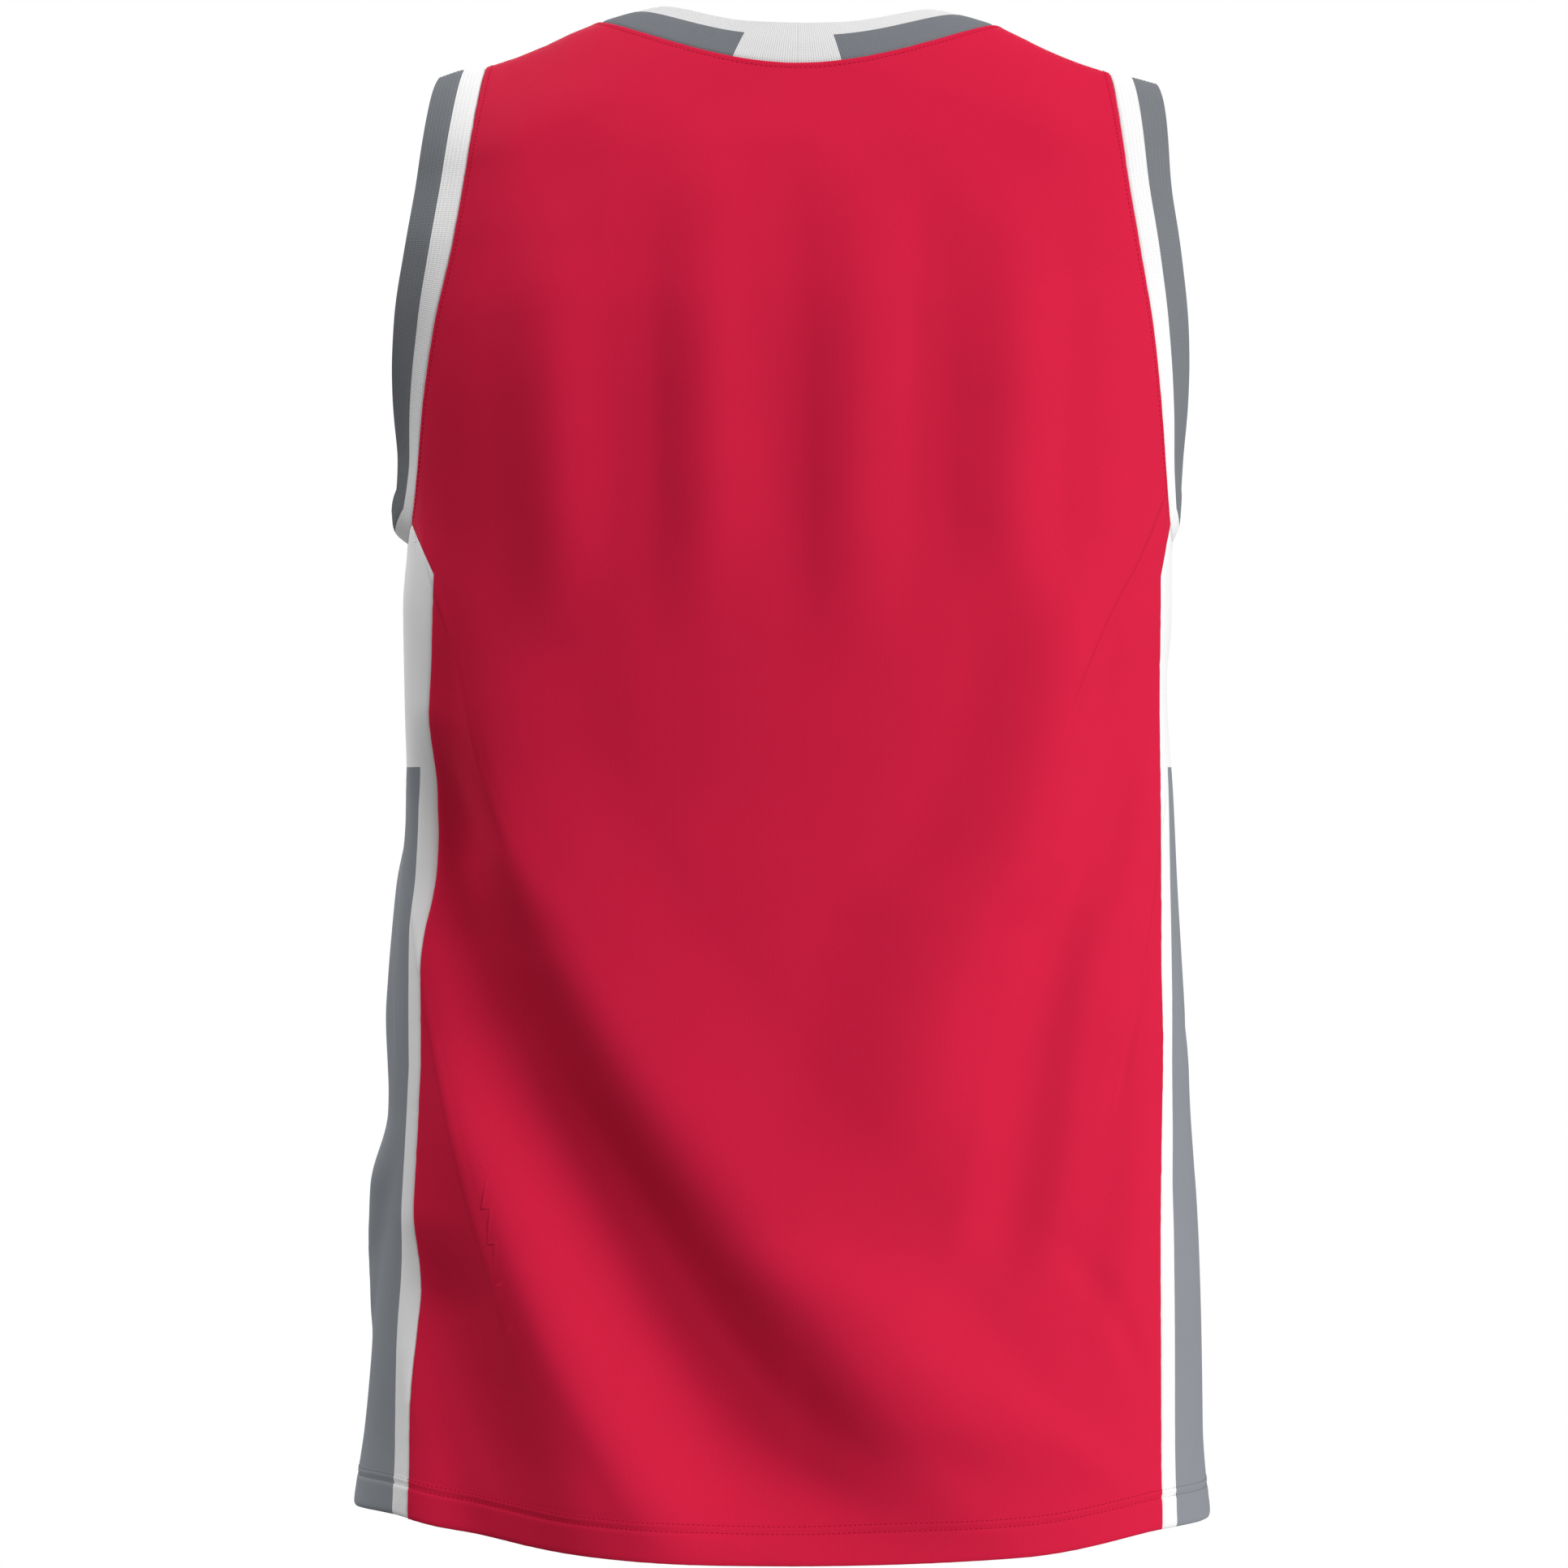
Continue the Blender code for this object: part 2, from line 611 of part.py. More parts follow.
def cloth_material(name, colour):
    material = bpy.data.materials.new(name)
    material.use_nodes = True
    shader = material.node_tree.nodes["Principled BSDF"]
    shader.inputs["Base Color"].default_value = (*colour, 1)
    shader.inputs["Roughness"].default_value = CLOTH_ROUGHNESS
    shader.inputs["Metallic"].default_value = 0
    return material


def make_panel(name, sheet):
    """The front or back panel: red, with its hem folded up inside."""
    depths = np.concatenate([np.full(YOKE_ROWS, PANEL_WALL), wall_depths()])
    outer = pull_borders(sheet)
    inner = outer - sheet.normals * depths[:, None, None]
    red = cloth_material(name + "_red", RED)
    wall_object(name, outer, inner, False, [red], lambda i, j: 0)


def make_side_panel(name, sheet):
    """A side panel: white, with a grey stripe from below the chest to the hem."""
    outer = pull_borders(sheet)
    inner = outer - sheet.normals * wall_depths()[:, None, None]
    stripe_row = int(np.argmin(np.abs(BODY_ROWS - STRIPE_TOP)))

    def tone(i, j):
        return 1 if i >= stripe_row and 1 <= j <= STRIPE_COLUMNS else 0

    tones = [cloth_material(name + "_white", WHITE), cloth_material(name + "_grey", GREY)]
    wall_object(name, outer, inner, False, tones, tone)


def opening_loop(runs):
    """Join border runs of the panels into one closed loop.

    Each run gives a panel, the grid places of its border and of the points just inside it.
    The loop has the seam's points, their normals and, for each run between two of them, the
    way out of the panel.
    """
    points = np.concatenate([sheet.points[border][:-1] for sheet, border, _ in runs])
    normals = np.concatenate([sheet.normals[border][:-1] for sheet, border, _ in runs])
    ways = [
        ways_in(sheet.points[border], sheet.points[inside], sheet.normals[border])
        for sheet, border, inside in runs
    ]
    return points, normals, -np.concatenate(ways)


def neck_loop(sheets):
    """The neck seam, from the centre of the back over the left shoulder and back."""
    back, front = sheets["back_panel"], sheets["front_panel"]
    middle = NECK_COLUMNS + SHOULDER_COLUMNS
    outwards = np.arange(middle, middle + NECK_COLUMNS + 1)
    inwards = outwards[::-1]
    other_side = 2 * middle
    runs = [
        (back, (0, outwards), (1, outwards)),
        (front, (0, inwards), (1, inwards)),
        (front, (0, other_side - outwards), (1, other_side - outwards)),
        (back, (0, other_side - inwards), (1, other_side - inwards)),
    ]
    return opening_loop(runs)


def arm_loop(sheets, side):
    """An armhole seam, from the shoulder tip down the back, under the arm and up the front."""
    edge, inside = (-1, -2) if side > 0 else (0, 1)
    downwards = np.arange(YOKE_ROWS + 1)
    upwards = downwards[::-1]
    across = np.arange(STRIPE_COLUMNS + 3)
    runs = [
        (sheets["back_panel"], (downwards, edge), (downwards, inside)),
        (sheets["side_panel_" + side_name(side)], (0, across), (1, across)),
        (sheets["front_panel"], (upwards, edge), (upwards, inside)),
    ]
    return opening_loop(runs)


def band_grids(points, normals, ways_out, leans, inner_share, lean_share=1.0):
    """A band sewn along a loop: it starts in line with the panels and leans as its table says."""
    lengths = np.linalg.norm(np.roll(points, -1, axis=0) - points, axis=1)
    step = mitre(np.roll(ways_out, 1, axis=0), ways_out)
    outward = unit(step)
    faces = square_to(normals, outward)
    share = (np.cumsum(lengths) - lengths) / lengths.sum()
    degree = math.pi / 180 * lean_share
    inner_lean = column_curve(leans, "inner", key="share", scale=degree, key_scale=1)(share)
    outer_lean = column_curve(leans, "outer", key="share", scale=degree, key_scale=1)(share)
    width = column_curve(leans, "width", key="share", key_scale=1)(share)[:, None]
    seam_side = np.linspace(0, inner_share, BAND_INNER_ROWS + 1)
    free_side = np.linspace(inner_share, 1, BAND_OUTER_ROWS + 1)[1:]
    places = np.concatenate([seam_side, free_side])
    outer = [points + step * SEAM_GAP / 2]
    inner = [outer[0] - normals * BAND_WALL]
    for near, far in zip(places[:-1], places[1:]):
        blend = smooth_step(((near + far) / 2 - inner_share / 2) / (1 - inner_share))
        lean = (inner_lean + (outer_lean - inner_lean) * blend)[:, None]
        direction = outward * np.cos(lean) + faces * np.sin(lean)
        face = faces * np.cos(lean) - outward * np.sin(lean)
        outer.append(outer[-1] + direction * (far - near) * width)
        inner.append(outer[-1] - face * BAND_WALL)
    return np.array(outer), np.array(inner)


def make_bands(sheets):
    """The two-tone rib bands round the neck and the armholes."""
    loop = neck_loop(sheets)
    points = loop[0]
    outer, inner = band_grids(*loop, NECK_LEANS, NECKBAND_INNER_SHARE)
    across = points[:, 0]
    in_block = (np.abs(across) < NECK_BLOCK_WIDTH / 2 + MM) & (points[:, 1] > 0)

    def neck_tone(i, j):
        whole = in_block[j] and in_block[(j + 1) % len(points)]
        return 1 if i >= BAND_INNER_ROWS or whole else 0

    tones = [cloth_material("neckband_grey", GREY), cloth_material("neckband_white", WHITE)]
    wall_object("neckband", outer, inner, True, tones, neck_tone)
    for side in (1, -1):
        name = "armband_" + side_name(side)
        loop = arm_loop(sheets, side)
        outer, inner = band_grids(*loop, ARM_LEANS, ARMBAND_INNER_SHARE, ARM_LEAN_SHARES[side])
        tones = [cloth_material(name + "_white", WHITE), cloth_material(name + "_grey", GREY)]
        wall_object(name, outer, inner, True, tones, lambda i, j: int(i >= BAND_INNER_ROWS))


def main():
    for obj in list(bpy.data.objects):
        bpy.data.objects.remove(obj)
    sheets = make_sheets()
    for name in ("back_panel", "front_panel"):
        make_panel(name, sheets[name])
    for name in ("side_panel_left", "side_panel_right"):
        make_side_panel(name, sheets[name])
    make_bands(sheets)


main()
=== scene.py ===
"""Looks of the basketball jersey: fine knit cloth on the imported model's own form.

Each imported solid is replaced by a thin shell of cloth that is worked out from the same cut, on
a finer grid, with the small creases, seams, stitches and knits that the solids leave out. A
place on the body is a turn round it, in degrees from the centre of the back towards the
wearer's left, and a height. Lengths are in metres where no unit is named.
"""

import math
from collections import namedtuple

import bmesh
import bpy
import numpy as np
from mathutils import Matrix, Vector
from mathutils.bvhtree import BVHTree
from mathutils.kdtree import KDTree

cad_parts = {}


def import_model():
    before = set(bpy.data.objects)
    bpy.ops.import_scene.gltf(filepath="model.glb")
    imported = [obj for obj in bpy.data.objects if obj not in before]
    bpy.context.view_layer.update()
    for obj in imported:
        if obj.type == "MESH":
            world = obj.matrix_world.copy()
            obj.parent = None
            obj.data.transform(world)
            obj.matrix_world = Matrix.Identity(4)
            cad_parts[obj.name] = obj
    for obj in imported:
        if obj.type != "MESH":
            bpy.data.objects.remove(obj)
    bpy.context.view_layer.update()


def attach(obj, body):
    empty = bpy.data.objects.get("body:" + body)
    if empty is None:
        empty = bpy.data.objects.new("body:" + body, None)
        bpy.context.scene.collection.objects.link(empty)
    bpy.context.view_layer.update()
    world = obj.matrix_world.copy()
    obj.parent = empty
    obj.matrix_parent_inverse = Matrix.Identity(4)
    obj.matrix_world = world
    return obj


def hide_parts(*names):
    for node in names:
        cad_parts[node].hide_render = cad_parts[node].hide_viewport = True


MM = 0.001


def table(columns, *rows):
    """The rows of a table, with named columns."""
    return [namedtuple("Row", columns)(*row) for row in rows]


# ---------------------------------------------------------------- the cut, as in the solids

# Shoulders and neck
NECK_HALF_WIDTH = 101.0 * MM
NECK_DROP_BACK = 30.5 * MM
NECK_DROP_FRONT = 120.0 * MM
NECK_FRONT_ROUNDNESS = (2.2, 1.6)
NECK_COLUMN_SLOPE = 0.3
SHOULDER_ROUNDING = 55.0 * MM

# Levels round the body
UNDERARM = -258.0 * MM
UNDERARM_SAG = 9.0 * MM
GUSSET_BOTTOM = -285.0 * MM
STRIPE_TOP = -380.5 * MM
MEAN_HEM = -758.0 * MM
HEM_WAVE_TOP = -500.0 * MM

# Bands and stripes
NECKBAND_INNER_SHARE = 0.64
ARMBAND_INNER_SHARE = 0.46
NECK_BLOCK_WIDTH = 54.0 * MM
NECK_BLOCK_SHIFT = 5.5 * MM
SIDE_STRIPE_MARGIN = 12.5 * MM

# The radius that turns round the body are laid out on when a fold's spread is measured
GIRTH_RADIUS = 170.0 * MM

# The worn body at each height, in millimetres: half widths to the wearer's left and right,
# depths to the back and front, and how square the section is (2 is an ellipse)
RINGS = table(
    "height left right back front squareness",
    (10, 186, 186, 40, 42, 2.2),
    (-30, 187, 186.5, 63, 60, 2.2),
    (-78, 189.5, 187, 95, 84, 2.2),
    (-121, 198, 195, 113, 102, 2.2),
    (-162, 201.5, 196.5, 124, 114, 2.25),
    (-200, 200.5, 194.5, 128, 121, 2.3),
    (-258, 198.4, 190.9, 130, 127, 2.3),
    (-300, 201.2, 190.6, 129, 128, 2.3),
    (-345, 200.6, 188.6, 127, 127, 2.25),
    (-395, 199.3, 191.4, 125, 126, 2.2),
    (-450, 204, 193.8, 126, 126, 2.2),
    (-520, 207.5, 198.8, 129, 127, 2.15),
    (-570, 209.5, 201.5, 132, 129, 2.15),
    (-620, 213, 204.5, 135, 132, 2.1),
    (-665, 216.5, 205.8, 138, 134, 2.1),
    (-715, 220.5, 206.3, 141, 136, 2.1),
    (-740, 224, 208, 143, 138, 2.1),
    (-775, 228.5, 211.5, 144, 139, 2.1),
)

# How far the front and back panels reach to each side down the armholes, in millimetres
ARMHOLES = table(
    "height back_left back_right front_left front_right",
    (-26, 159, 159, 159, 159),
    (-78, 165.5, 164.1, 162, 160.5),
    (-121, 172.1, 170.2, 166.5, 164.5),
    (-162, 181.3, 177, 174.5, 171.5),
    (-200, 187.5, 181.6, 182.5, 178),
    (-240, 192, 185.8, 191, 184),
)

# The side panels below the armholes, in millimetres: where their back seams run to each side,
# and how wide they are cut
SIDE_CUTS = table(
    "height back_left back_right width",
    (-258, 194.8, 188, 62),
    (-285, 181, 181.7, 122),
    (-330, 182.5, 181.7, 126),
    (-400, 187.5, 182, 132),
    (-460, 189, 181.8, 137),
    (-530, 187.5, 180.4, 143),
    (-600, 191.5, 179.8, 149),
    (-660, 193, 179.8, 154),
    (-775, 193.4, 179.8, 164),
)

# The top of each shoulder from the neck out to its tip, in millimetres
SHOULDERS = table(
    "across left right",
    (101, 0, -1.5),
    (116, -6, -8.8),
    (126, -10.8, -13.8),
    (136, -15, -18),
    (146, -18.8, -21.8),
    (159, -23, -25.8),
)

# The height of the hem round the body, in millimetres
HEM = table(
    "turn height",
    (-180, -763),
    (-135, -761),
    (-90, -761),
    (-57, -757),
    (-30, -762.5),
    (0, -763.5),
    (28, -760.5),
    (50, -754.5),
    (62, -751),
    (90, -756),
    (135, -760),
    (180, -763),
)

# The large folds that the solids have, each along a path of turns in degrees and heights in
# millimetres. The depth is positive for a ridge and negative for a trough, and fades out
# towards both ends. The reach is how far the fold spreads to the wearer's left and right.
Fold = namedtuple("Fold", "path depth reach_left reach_right")
FOLDS = (
    # the long drag folds from the left underarm across the back
    Fold(
        ((66, -350), (60, -425), (50, -475), (39, -535), (26, -600), (16, -660), (5, -720), (-10, -780)),
        depth=-17.0, reach_left=47, reach_right=60,
    ),
    Fold(
        ((48, -280), (46, -370), (38, -435), (26, -500), (14, -560), (2, -620), (-8, -670), (-20, -720)),
        depth=7.0, reach_left=36, reach_right=64,
    ),
    Fold(((56, -500), (48, -570), (36, -645), (25, -710), (17, -770), (13, -840)), 5.0, 44, 42),
    Fold(((62, -600), (56, -650), (49, -700), (45, -745), (42, -800), (40, -840)), -11.0, 38, 58),
    # the right half of the back
    Fold(((-41, -260), (-38, -340), (-30, -420), (-21, -460), (-15, -520), (-11, -600)), 8.0, 50, 44),
    Fold(((-64, -340), (-53, -410), (-40, -465), (-34, -530), (-30, -590), (-26, -650)), -4.5, 28, 26),
    Fold(((2, -600), (-8, -640), (-22, -695), (-40, -740)), 5.0, 38, 40),
    Fold(((-66, -470), (-58, -540), (-52, -620), (-48, -700)), 3.0, 28, 30),
    # the soft upright waves between the shoulder blades
    Fold(((35, -70), (34, -150), (33, -250), (34, -330)), 6.0, 40, 30),
    Fold(((11, -50), (11, -110), (10, -230), (11, -340)), 5.5, 24, 22),
    Fold(((-7, -55), (-7, -120), (-6, -240), (-6, -350)), 5.0, 22, 26),
    Fold(((-30, -60), (-30, -130), (-29, -240), (-32, -330)), 6.0, 34, 36),
    # the side panels
    Fold(((104, -390), (97, -440), (92, -500), (88, -550)), 4.0, 34, 34),
    Fold(((84, -555), (90, -595), (96, -640), (102, -690)), 7.5, 44, 40),
    Fold(((100, -500), (106, -570), (114, -640), (120, -700)), -3.5, 24, 26),
    Fold(((-84, -300), (-92, -350), (-98, -420)), -2.5, 28, 28),
    Fold(((-86, -520), (-94, -600), (-100, -700)), -2.5, 26, 28),
    # the front
    Fold(((-120, -290), (-132, -430), (-146, -530), (-164, -640), (-184, -730)), -9.0, 42, 76),
    Fold(((-114, -470), (-130, -600), (-144, -700), (-152, -790), (-154, -840)), 5.0, 48, 42),
    Fold(((-110, -600), (-124, -690), (-134, -780), (-138, -840)), -6.0, 40, 40),
    Fold(((126, -300), (138, -420), (152, -540), (162, -640)), -6.0, 50, 42),
    Fold(((122, -470), (140, -590), (152, -690), (158, -790), (160, -840)), 4.5, 45, 48),
    Fold(((116, -620), (130, -700), (138, -780), (140, -840)), -4.5, 40, 42),
    Fold(((146, -100), (150, -170), (153, -240), (154, -330)), 2.6, 28, 32),
    Fold(((-147, -100), (-150, -170), (-154, -250), (-158, -350)), 2.4, 32, 28),
    Fold(((178, -170), (179, -230), (181, -310), (184, -420)), -2.8, 34, 34),
)

# How each band leans off its panel, in degrees away from the body, on its inner stripe beside
# the seam and on its outer stripe, and its width in millimetres, by the share of the way
# round the opening. The band of the right armhole leans out less.
ARM_LEAN_SHARES = {1: 1.0, -1: 0.45}
NECK_LEANS = table(
    "share inner outer width",
    (0.00, -3, -12, 30.5),
    (0.25, -4, -8, 30.5),
    (0.50, 0, -4, 30.5),
    (0.75, -4, -8, 30.5),
    (1.00, -3, -12, 30.5),
)
ARM_LEANS = table(
    "share inner outer width",
    (0.000, 12, -4, 24.5),
    (0.060, 14, 0, 26.5),
    (0.130, 17, 8, 28.5),
    (0.205, 21, 12, 28.5),
    (0.280, 4, 20, 29.0),
    (0.345, 2, 11, 29.5),
    (0.400, -2, 7, 29.5),
    (0.440, 8, 6, 27.0),
    (0.470, 40, 6, 22.0),
    (0.500, 56, 8, 20.0),
    (0.530, 40, 6, 20.5),
    (0.560, 2, 0, 24.5),
    (0.600, -8, -4, 28.0),
    (0.660, 0, 6, 28.5),
    (0.800, 14, 12, 28.5),
    (0.940, 14, 0, 26.5),
    (1.000, 12, -4, 24.5),
)

# ---------------------------------------------------------------- what only the looks have

# Cloth thicknesses
CLOTH_WALL = 0.8 * MM
HEM_WALL = 2.0 * MM
HEM_DEPTH = 21.0 * MM
BAND_WALL = 1.8 * MM

# How finely each piece is divided. A crowding is a power that brings places closer together
# towards an edge.
NECK_COLUMNS = 50
NECK_BLOCK_COLUMNS = 6
NECK_BEND_WEIGHT = 50.0 * MM
SHOULDER_COLUMNS = 18
SHOULDER_CROWDING = 1.5
SHOULDER_LOW_SHARE = 0.22
YOKE_ROWS = 84
YOKE_ROW_CROWDING = 1.5
MARGIN_COLUMNS = 8
STRIPE_COLUMNS = 24
SIDE_COLUMNS = 2 * MARGIN_COLUMNS + STRIPE_COLUMNS
ROW_PITCH = 3.4 * MM
HEM_ROW_PITCH = 0.9 * MM
BAND_ROWS = {"neck": (20, 12), "arm": (24, 28)}
SEAM_SAMPLES = 241
FOLD_SLOPE_SPAN = 2.0 * MM
BORDER_PITCH = 0.4 * MM
NOSE_ROWS = 4

# How soon the yoke's columns fan out below the neck, on the back (1) and on the front (-1). On
# the front they keep step with the rows, so that the grid doesn't fold over at the deep neck.
YOKE_FAN_CROWDING = {1: 0.75, -1: 1.5}

# The row that shows which way into the front or back panel is, from the neck seam
INSIDE_ROW = 6

# The columns of the grid that a band's lean is worked out at, as in the solids
NECK_GUIDE = 4
NECK_BLOCK_GUIDE = 3
YOKE_GUIDE = 6
STRIPE_GUIDE = 4

# A band or side panel starts a little under the red cloth's edge and rises level with it
TUCK = 2.6 * MM
TUCK_DEPTH = 1.5 * MM
TUCK_ROWS = 2
SEAM_DIP = 1.0 * MM
SEAM_RISE = 1.2 * MM

# Bands: how far along the seam their lean is evened out, and their long soft waves
BAND_EVENING = 5.0 * MM
BAND_SLACK = 0.15 * MM
BAND_SLACK_WAVE = 23.0 * MM
BAND_SLACK_SWELL = 61.0 * MM

# Seams: the red edge rolls under, and its row of stitches pulls a groove
EDGE_ROLL = 0.35 * MM
EDGE_ROLL_REACH = 0.7 * MM
STITCH_INSET = 3.3 * MM
STITCH_GROOVE = 0.22 * MM
STITCH_GROOVE_REACH = 0.8 * MM
SEAM_PUFF = 0.22 * MM

# A plain seam shows its allowance through the cloth
ALLOWANCE_WIDTH = 7.0 * MM
ALLOWANCE_FADE = 2.0 * MM
ALLOWANCE_RELIEF = 0.10 * MM

# Puckers beside seams: how high they are, and how far from the seam they reach. They are waves
# of a few lengths, each with its share, that grow and shrink over a longer one.
Pucker = namedtuple("Pucker", "height reach")
SEWN_PUCKER = Pucker(0.14 * MM, 9.0 * MM)
PLAIN_PUCKER = Pucker(0.16 * MM, 12.0 * MM)
SIDE_PUCKER = Pucker(0.16 * MM, 10.0 * MM)
BAND_PUCKER = Pucker(0.12 * MM, 9.0 * MM)
PUCKER_WAVES = ((8.3 * MM, 0.45), (12.9 * MM, 0.35), (21.7 * MM, 0.35))
PUCKER_SWELL = 67.0 * MM

# The hem's twin-needle rows, up from the edge, and how deep a groove each one pulls
HEM_STITCH_ROWS = (15.0 * MM, 18.8 * MM)
HEM_GROOVES = (0.60 * MM, 0.28 * MM)
HEM_GROOVE_REACH = 1.1 * MM

# The hem's fold stands out as far as a little past its stitches, and twists into slanting ropes
HEM_FOLD_RELIEF = 0.35 * MM
HEM_FOLD_PAST = 3.0 * MM
HEM_FOLD_FADE = 4.0 * MM
HEM_ROPES = 0.13 * MM
HEM_ROPE_SLANT = 0.8
HEM_ROPE_FADE = 9.0 * MM

# Stitches
STITCH_LENGTH = 1.7 * MM
STITCH_SPACE = 0.75 * MM
THREAD_SIDES = 5
THREAD_RISES = (-0.12 * MM, 0.10 * MM, 0.10 * MM, -0.12 * MM)
THREAD_RADII = (0.12 * MM, 0.17 * MM, 0.17 * MM, 0.12 * MM)

# Raised ribs along the armhole bands, a few rows of the mesh to each
RIB_ROWS = 4
RIB_RELIEF = 0.10 * MM

# Knits: the width of a wale, the height of a course, how far the loops slant, how much
# they show in relief, and how much darker their gaps are painted, as painted shade
Knit = namedtuple("Knit", "wale course slant relief shade")
THREAD_TWIST = Knit(0.50 * MM, 0.50 * MM, 0.50, 0.020 * MM, 0.05)
JERSEY = Knit(0.95 * MM, 0.80 * MM, 0.45, 0.028 * MM, 0.03)
NECK_RIB = Knit(1.10 * MM, 1.10 * MM, 0.00, 0.120 * MM, 0.34)
ARM_RIB = Knit(1.00 * MM, 1.15 * MM, 0.00, 0.080 * MM, 0.20)

# Cloths: the colour as linear values, the knit, the roughness, how uneven the dye is, the
# sheen, and whether thin creases show in it
Cloth = namedtuple("Cloth", "colour knit roughness mottle sheen creased")
CLOTHS = {
    "red_knit": Cloth((0.590, 0.014, 0.051), JERSEY, 0.50, 0.05, 0.00, True),
    "side_white_knit": Cloth((0.790, 0.790, 0.790), JERSEY, 0.55, 0.03, 0.00, True),
    "side_grey_knit": Cloth((0.232, 0.245, 0.268), JERSEY, 0.55, 0.06, 0.00, True),
    "neck_grey_rib": Cloth((0.172, 0.182, 0.200), NECK_RIB, 0.60, 0.08, 0.02, False),
    # The neck's white is darker and the armholes' white lighter than the side panels' white: painted
    # shade on the neck and painted light on the armholes
    "neck_white_rib_painted_shade": Cloth((0.690, 0.690, 0.690), NECK_RIB, 0.60, 0.04, 0.02, False),
    "arm_white_rib_painted_light": Cloth((0.850, 0.850, 0.850), ARM_RIB, 0.60, 0.04, 0.02, False),
    "arm_grey_rib": Cloth((0.186, 0.196, 0.212), ARM_RIB, 0.60, 0.08, 0.02, False),
    # The threads are darker than the cloth they lie on: painted shade of the sunk stitches
    "red_thread_painted_shade": Cloth((0.400, 0.008, 0.032), THREAD_TWIST, 0.50, 0.05, 0.00, False),
    "white_thread_painted_shade": Cloth((0.600, 0.600, 0.620), THREAD_TWIST, 0.50, 0.03, 0.00, False),
    "grey_thread_painted_shade": Cloth((0.150, 0.160, 0.178), THREAD_TWIST, 0.50, 0.05, 0.00, False),
}
SPECULAR = 0.006
SHEEN_ROUGHNESS = 0.45

# The sizes of the dye's unevenness, broad and fine, and of the fuzz
DYE_PATCH = 31.0 * MM
DYE_SPECK = 1.3 * MM
FUZZ = 0.35 * MM

# The cut of what shows of each piece, in metres: its width and length, and its flat area where
# it isn't a plain strip
Cut = namedtuple("Cut", "width length area")
BACK_CUT = Cut(0.440, 0.770, 0.317)
FRONT_CUT = Cut(0.440, 0.740, 0.274)
SIDE_CUT = Cut(0.164, 0.500, 0.073)
NECKBAND_CUT = Cut(0.640, 0.0305, None)
ARMBAND_CUT = Cut(0.560, 0.0285, None)

# The photo's frame and camera, in metres: the size of a pixel is where the shoulders are
PHOTO_WIDTH = 1932
PIXEL_SIZE = 0.000415
CAMERA_ACROSS = 0.007
CAMERA_HEIGHT = -0.389
CAMERA_DISTANCE = 2.2
SENSOR_WIDTH = 36.0

# Studio: the lamps give a name, the direction that the light comes from, its strength and
# how many degrees it spreads over
AMBIENT = 0.31
LAMPS = (
    ("key", (-0.70, 0.67, 0.24), 2.6, 40),
    ("side", (-0.98, -0.17, 0.14), 0.7, 40),
    ("high", (0.53, -0.19, 0.83), 2.2, 40),
    ("front", (0.25, -0.90, 0.35), 0.9, 50),
)
FLOOR_HEIGHT = -1.2
FLOOR_RADIUS = 2.1
FLOOR_COLOUR = (0.8, 0.8, 0.8, 1)
FLOOR_ROUGHNESS = 0.9

# Soft creases, low ridges and dents between the large folds
CREASE_FADE = 28.0 * MM
SHOULDER_FADE = 60.0 * MM
CREASES = (
    # left side of the back
    Fold(((80, -205), (74, -262), (66, -300), (57, -338), (50, -385), (42, -440)), -0.9, 16, 12),
    Fold(((75, -430), (68, -480), (61, -530), (54, -578), (47, -632), (42, -680)), -0.8, 14, 11),
    Fold(
        ((57, -340), (53, -400), (42, -460), (28, -520), (14, -580), (3, -640), (-8, -690), (-18, -730)),
        depth=2.6, reach_left=26, reach_right=44,
    ),
    Fold(
        ((74, -380), (68, -430), (56, -470), (44, -530), (31, -590), (20, -650), (8, -705), (-4, -745)),
        depth=-2.6, reach_left=44, reach_right=26,
    ),
    Fold(((40, -600), (33, -650), (26, -695), (18, -735), (14, -775)), 1.2, 18, 22),
    Fold(((58, -650), (53, -690), (47, -725), (42, -760)), 1.1, 16, 16),
    # right side of the back
    Fold(((-66, -300), (-56, -350), (-47, -410), (-40, -470)), -1.0, 17, 15),
    Fold(((-70, -560), (-62, -600), (-54, -636), (-48, -668)), -1.5, 15, 17),
    Fold(((-36, -600), (-44, -632), (-51, -662), (-58, -700)), -1.4, 16, 14),
    Fold(((-20, -660), (-30, -690), (-42, -716), (-52, -750)), 1.1, 17, 18),
    # the middle, where the upright waves grow shallow towards the shoulders
    Fold(((35, -40), (35, -110), (34, -190)), -3.2, 40, 30),
    Fold(((11, -30), (11, -100), (11, -180)), -2.6, 24, 22),
    Fold(((-7, -30), (-7, -100), (-7, -180)), -2.4, 22, 26),
    Fold(((-30, -40), (-30, -110), (-29, -200)), -3.2, 34, 36),
    Fold(((22, -60), (21, -130), (20, -240), (21, -330)), -0.9, 18, 18),
    Fold(((1, -50), (1, -120), (1, -250), (0, -350)), -1.1, 12, 12),
    Fold(((-17, -60), (-17, -130), (-16, -230), (-18, -330)), -0.8, 16, 18),
    # side panels
    Fold(((112, -300), (100, -345), (92, -385), (84, -420)), 1.0, 14, 14),
    Fold(((84, -610), (92, -640), (102, -672), (112, -700)), -1.2, 15, 15),
    Fold(((-80, -285), (-88, -330), (-96, -370), (-106, -410)), 0.9, 14, 15),
    Fold(((-78, -470), (-88, -520), (-100, -560), (-112, -600)), -0.9, 15, 15),
    # the front
    Fold(((104, -215), (110, -262), (119, -300), (130, -345), (140, -400)), 1.1, 14, 12),
    Fold(((-103, -215), (-110, -262), (-120, -305), (-131, -350), (-143, -415)), 1.0, 12, 14),
    Fold(((160, -150), (162, -210), (166, -280), (170, -350)), -0.9, 17, 17),
    Fold(((-162, -150), (-166, -215), (-170, -290), (-176, -360)), -0.9, 16, 18),
    Fold(((172, -560), (178, -620), (186, -680), (192, -730)), 1.3, 20, 18),
)

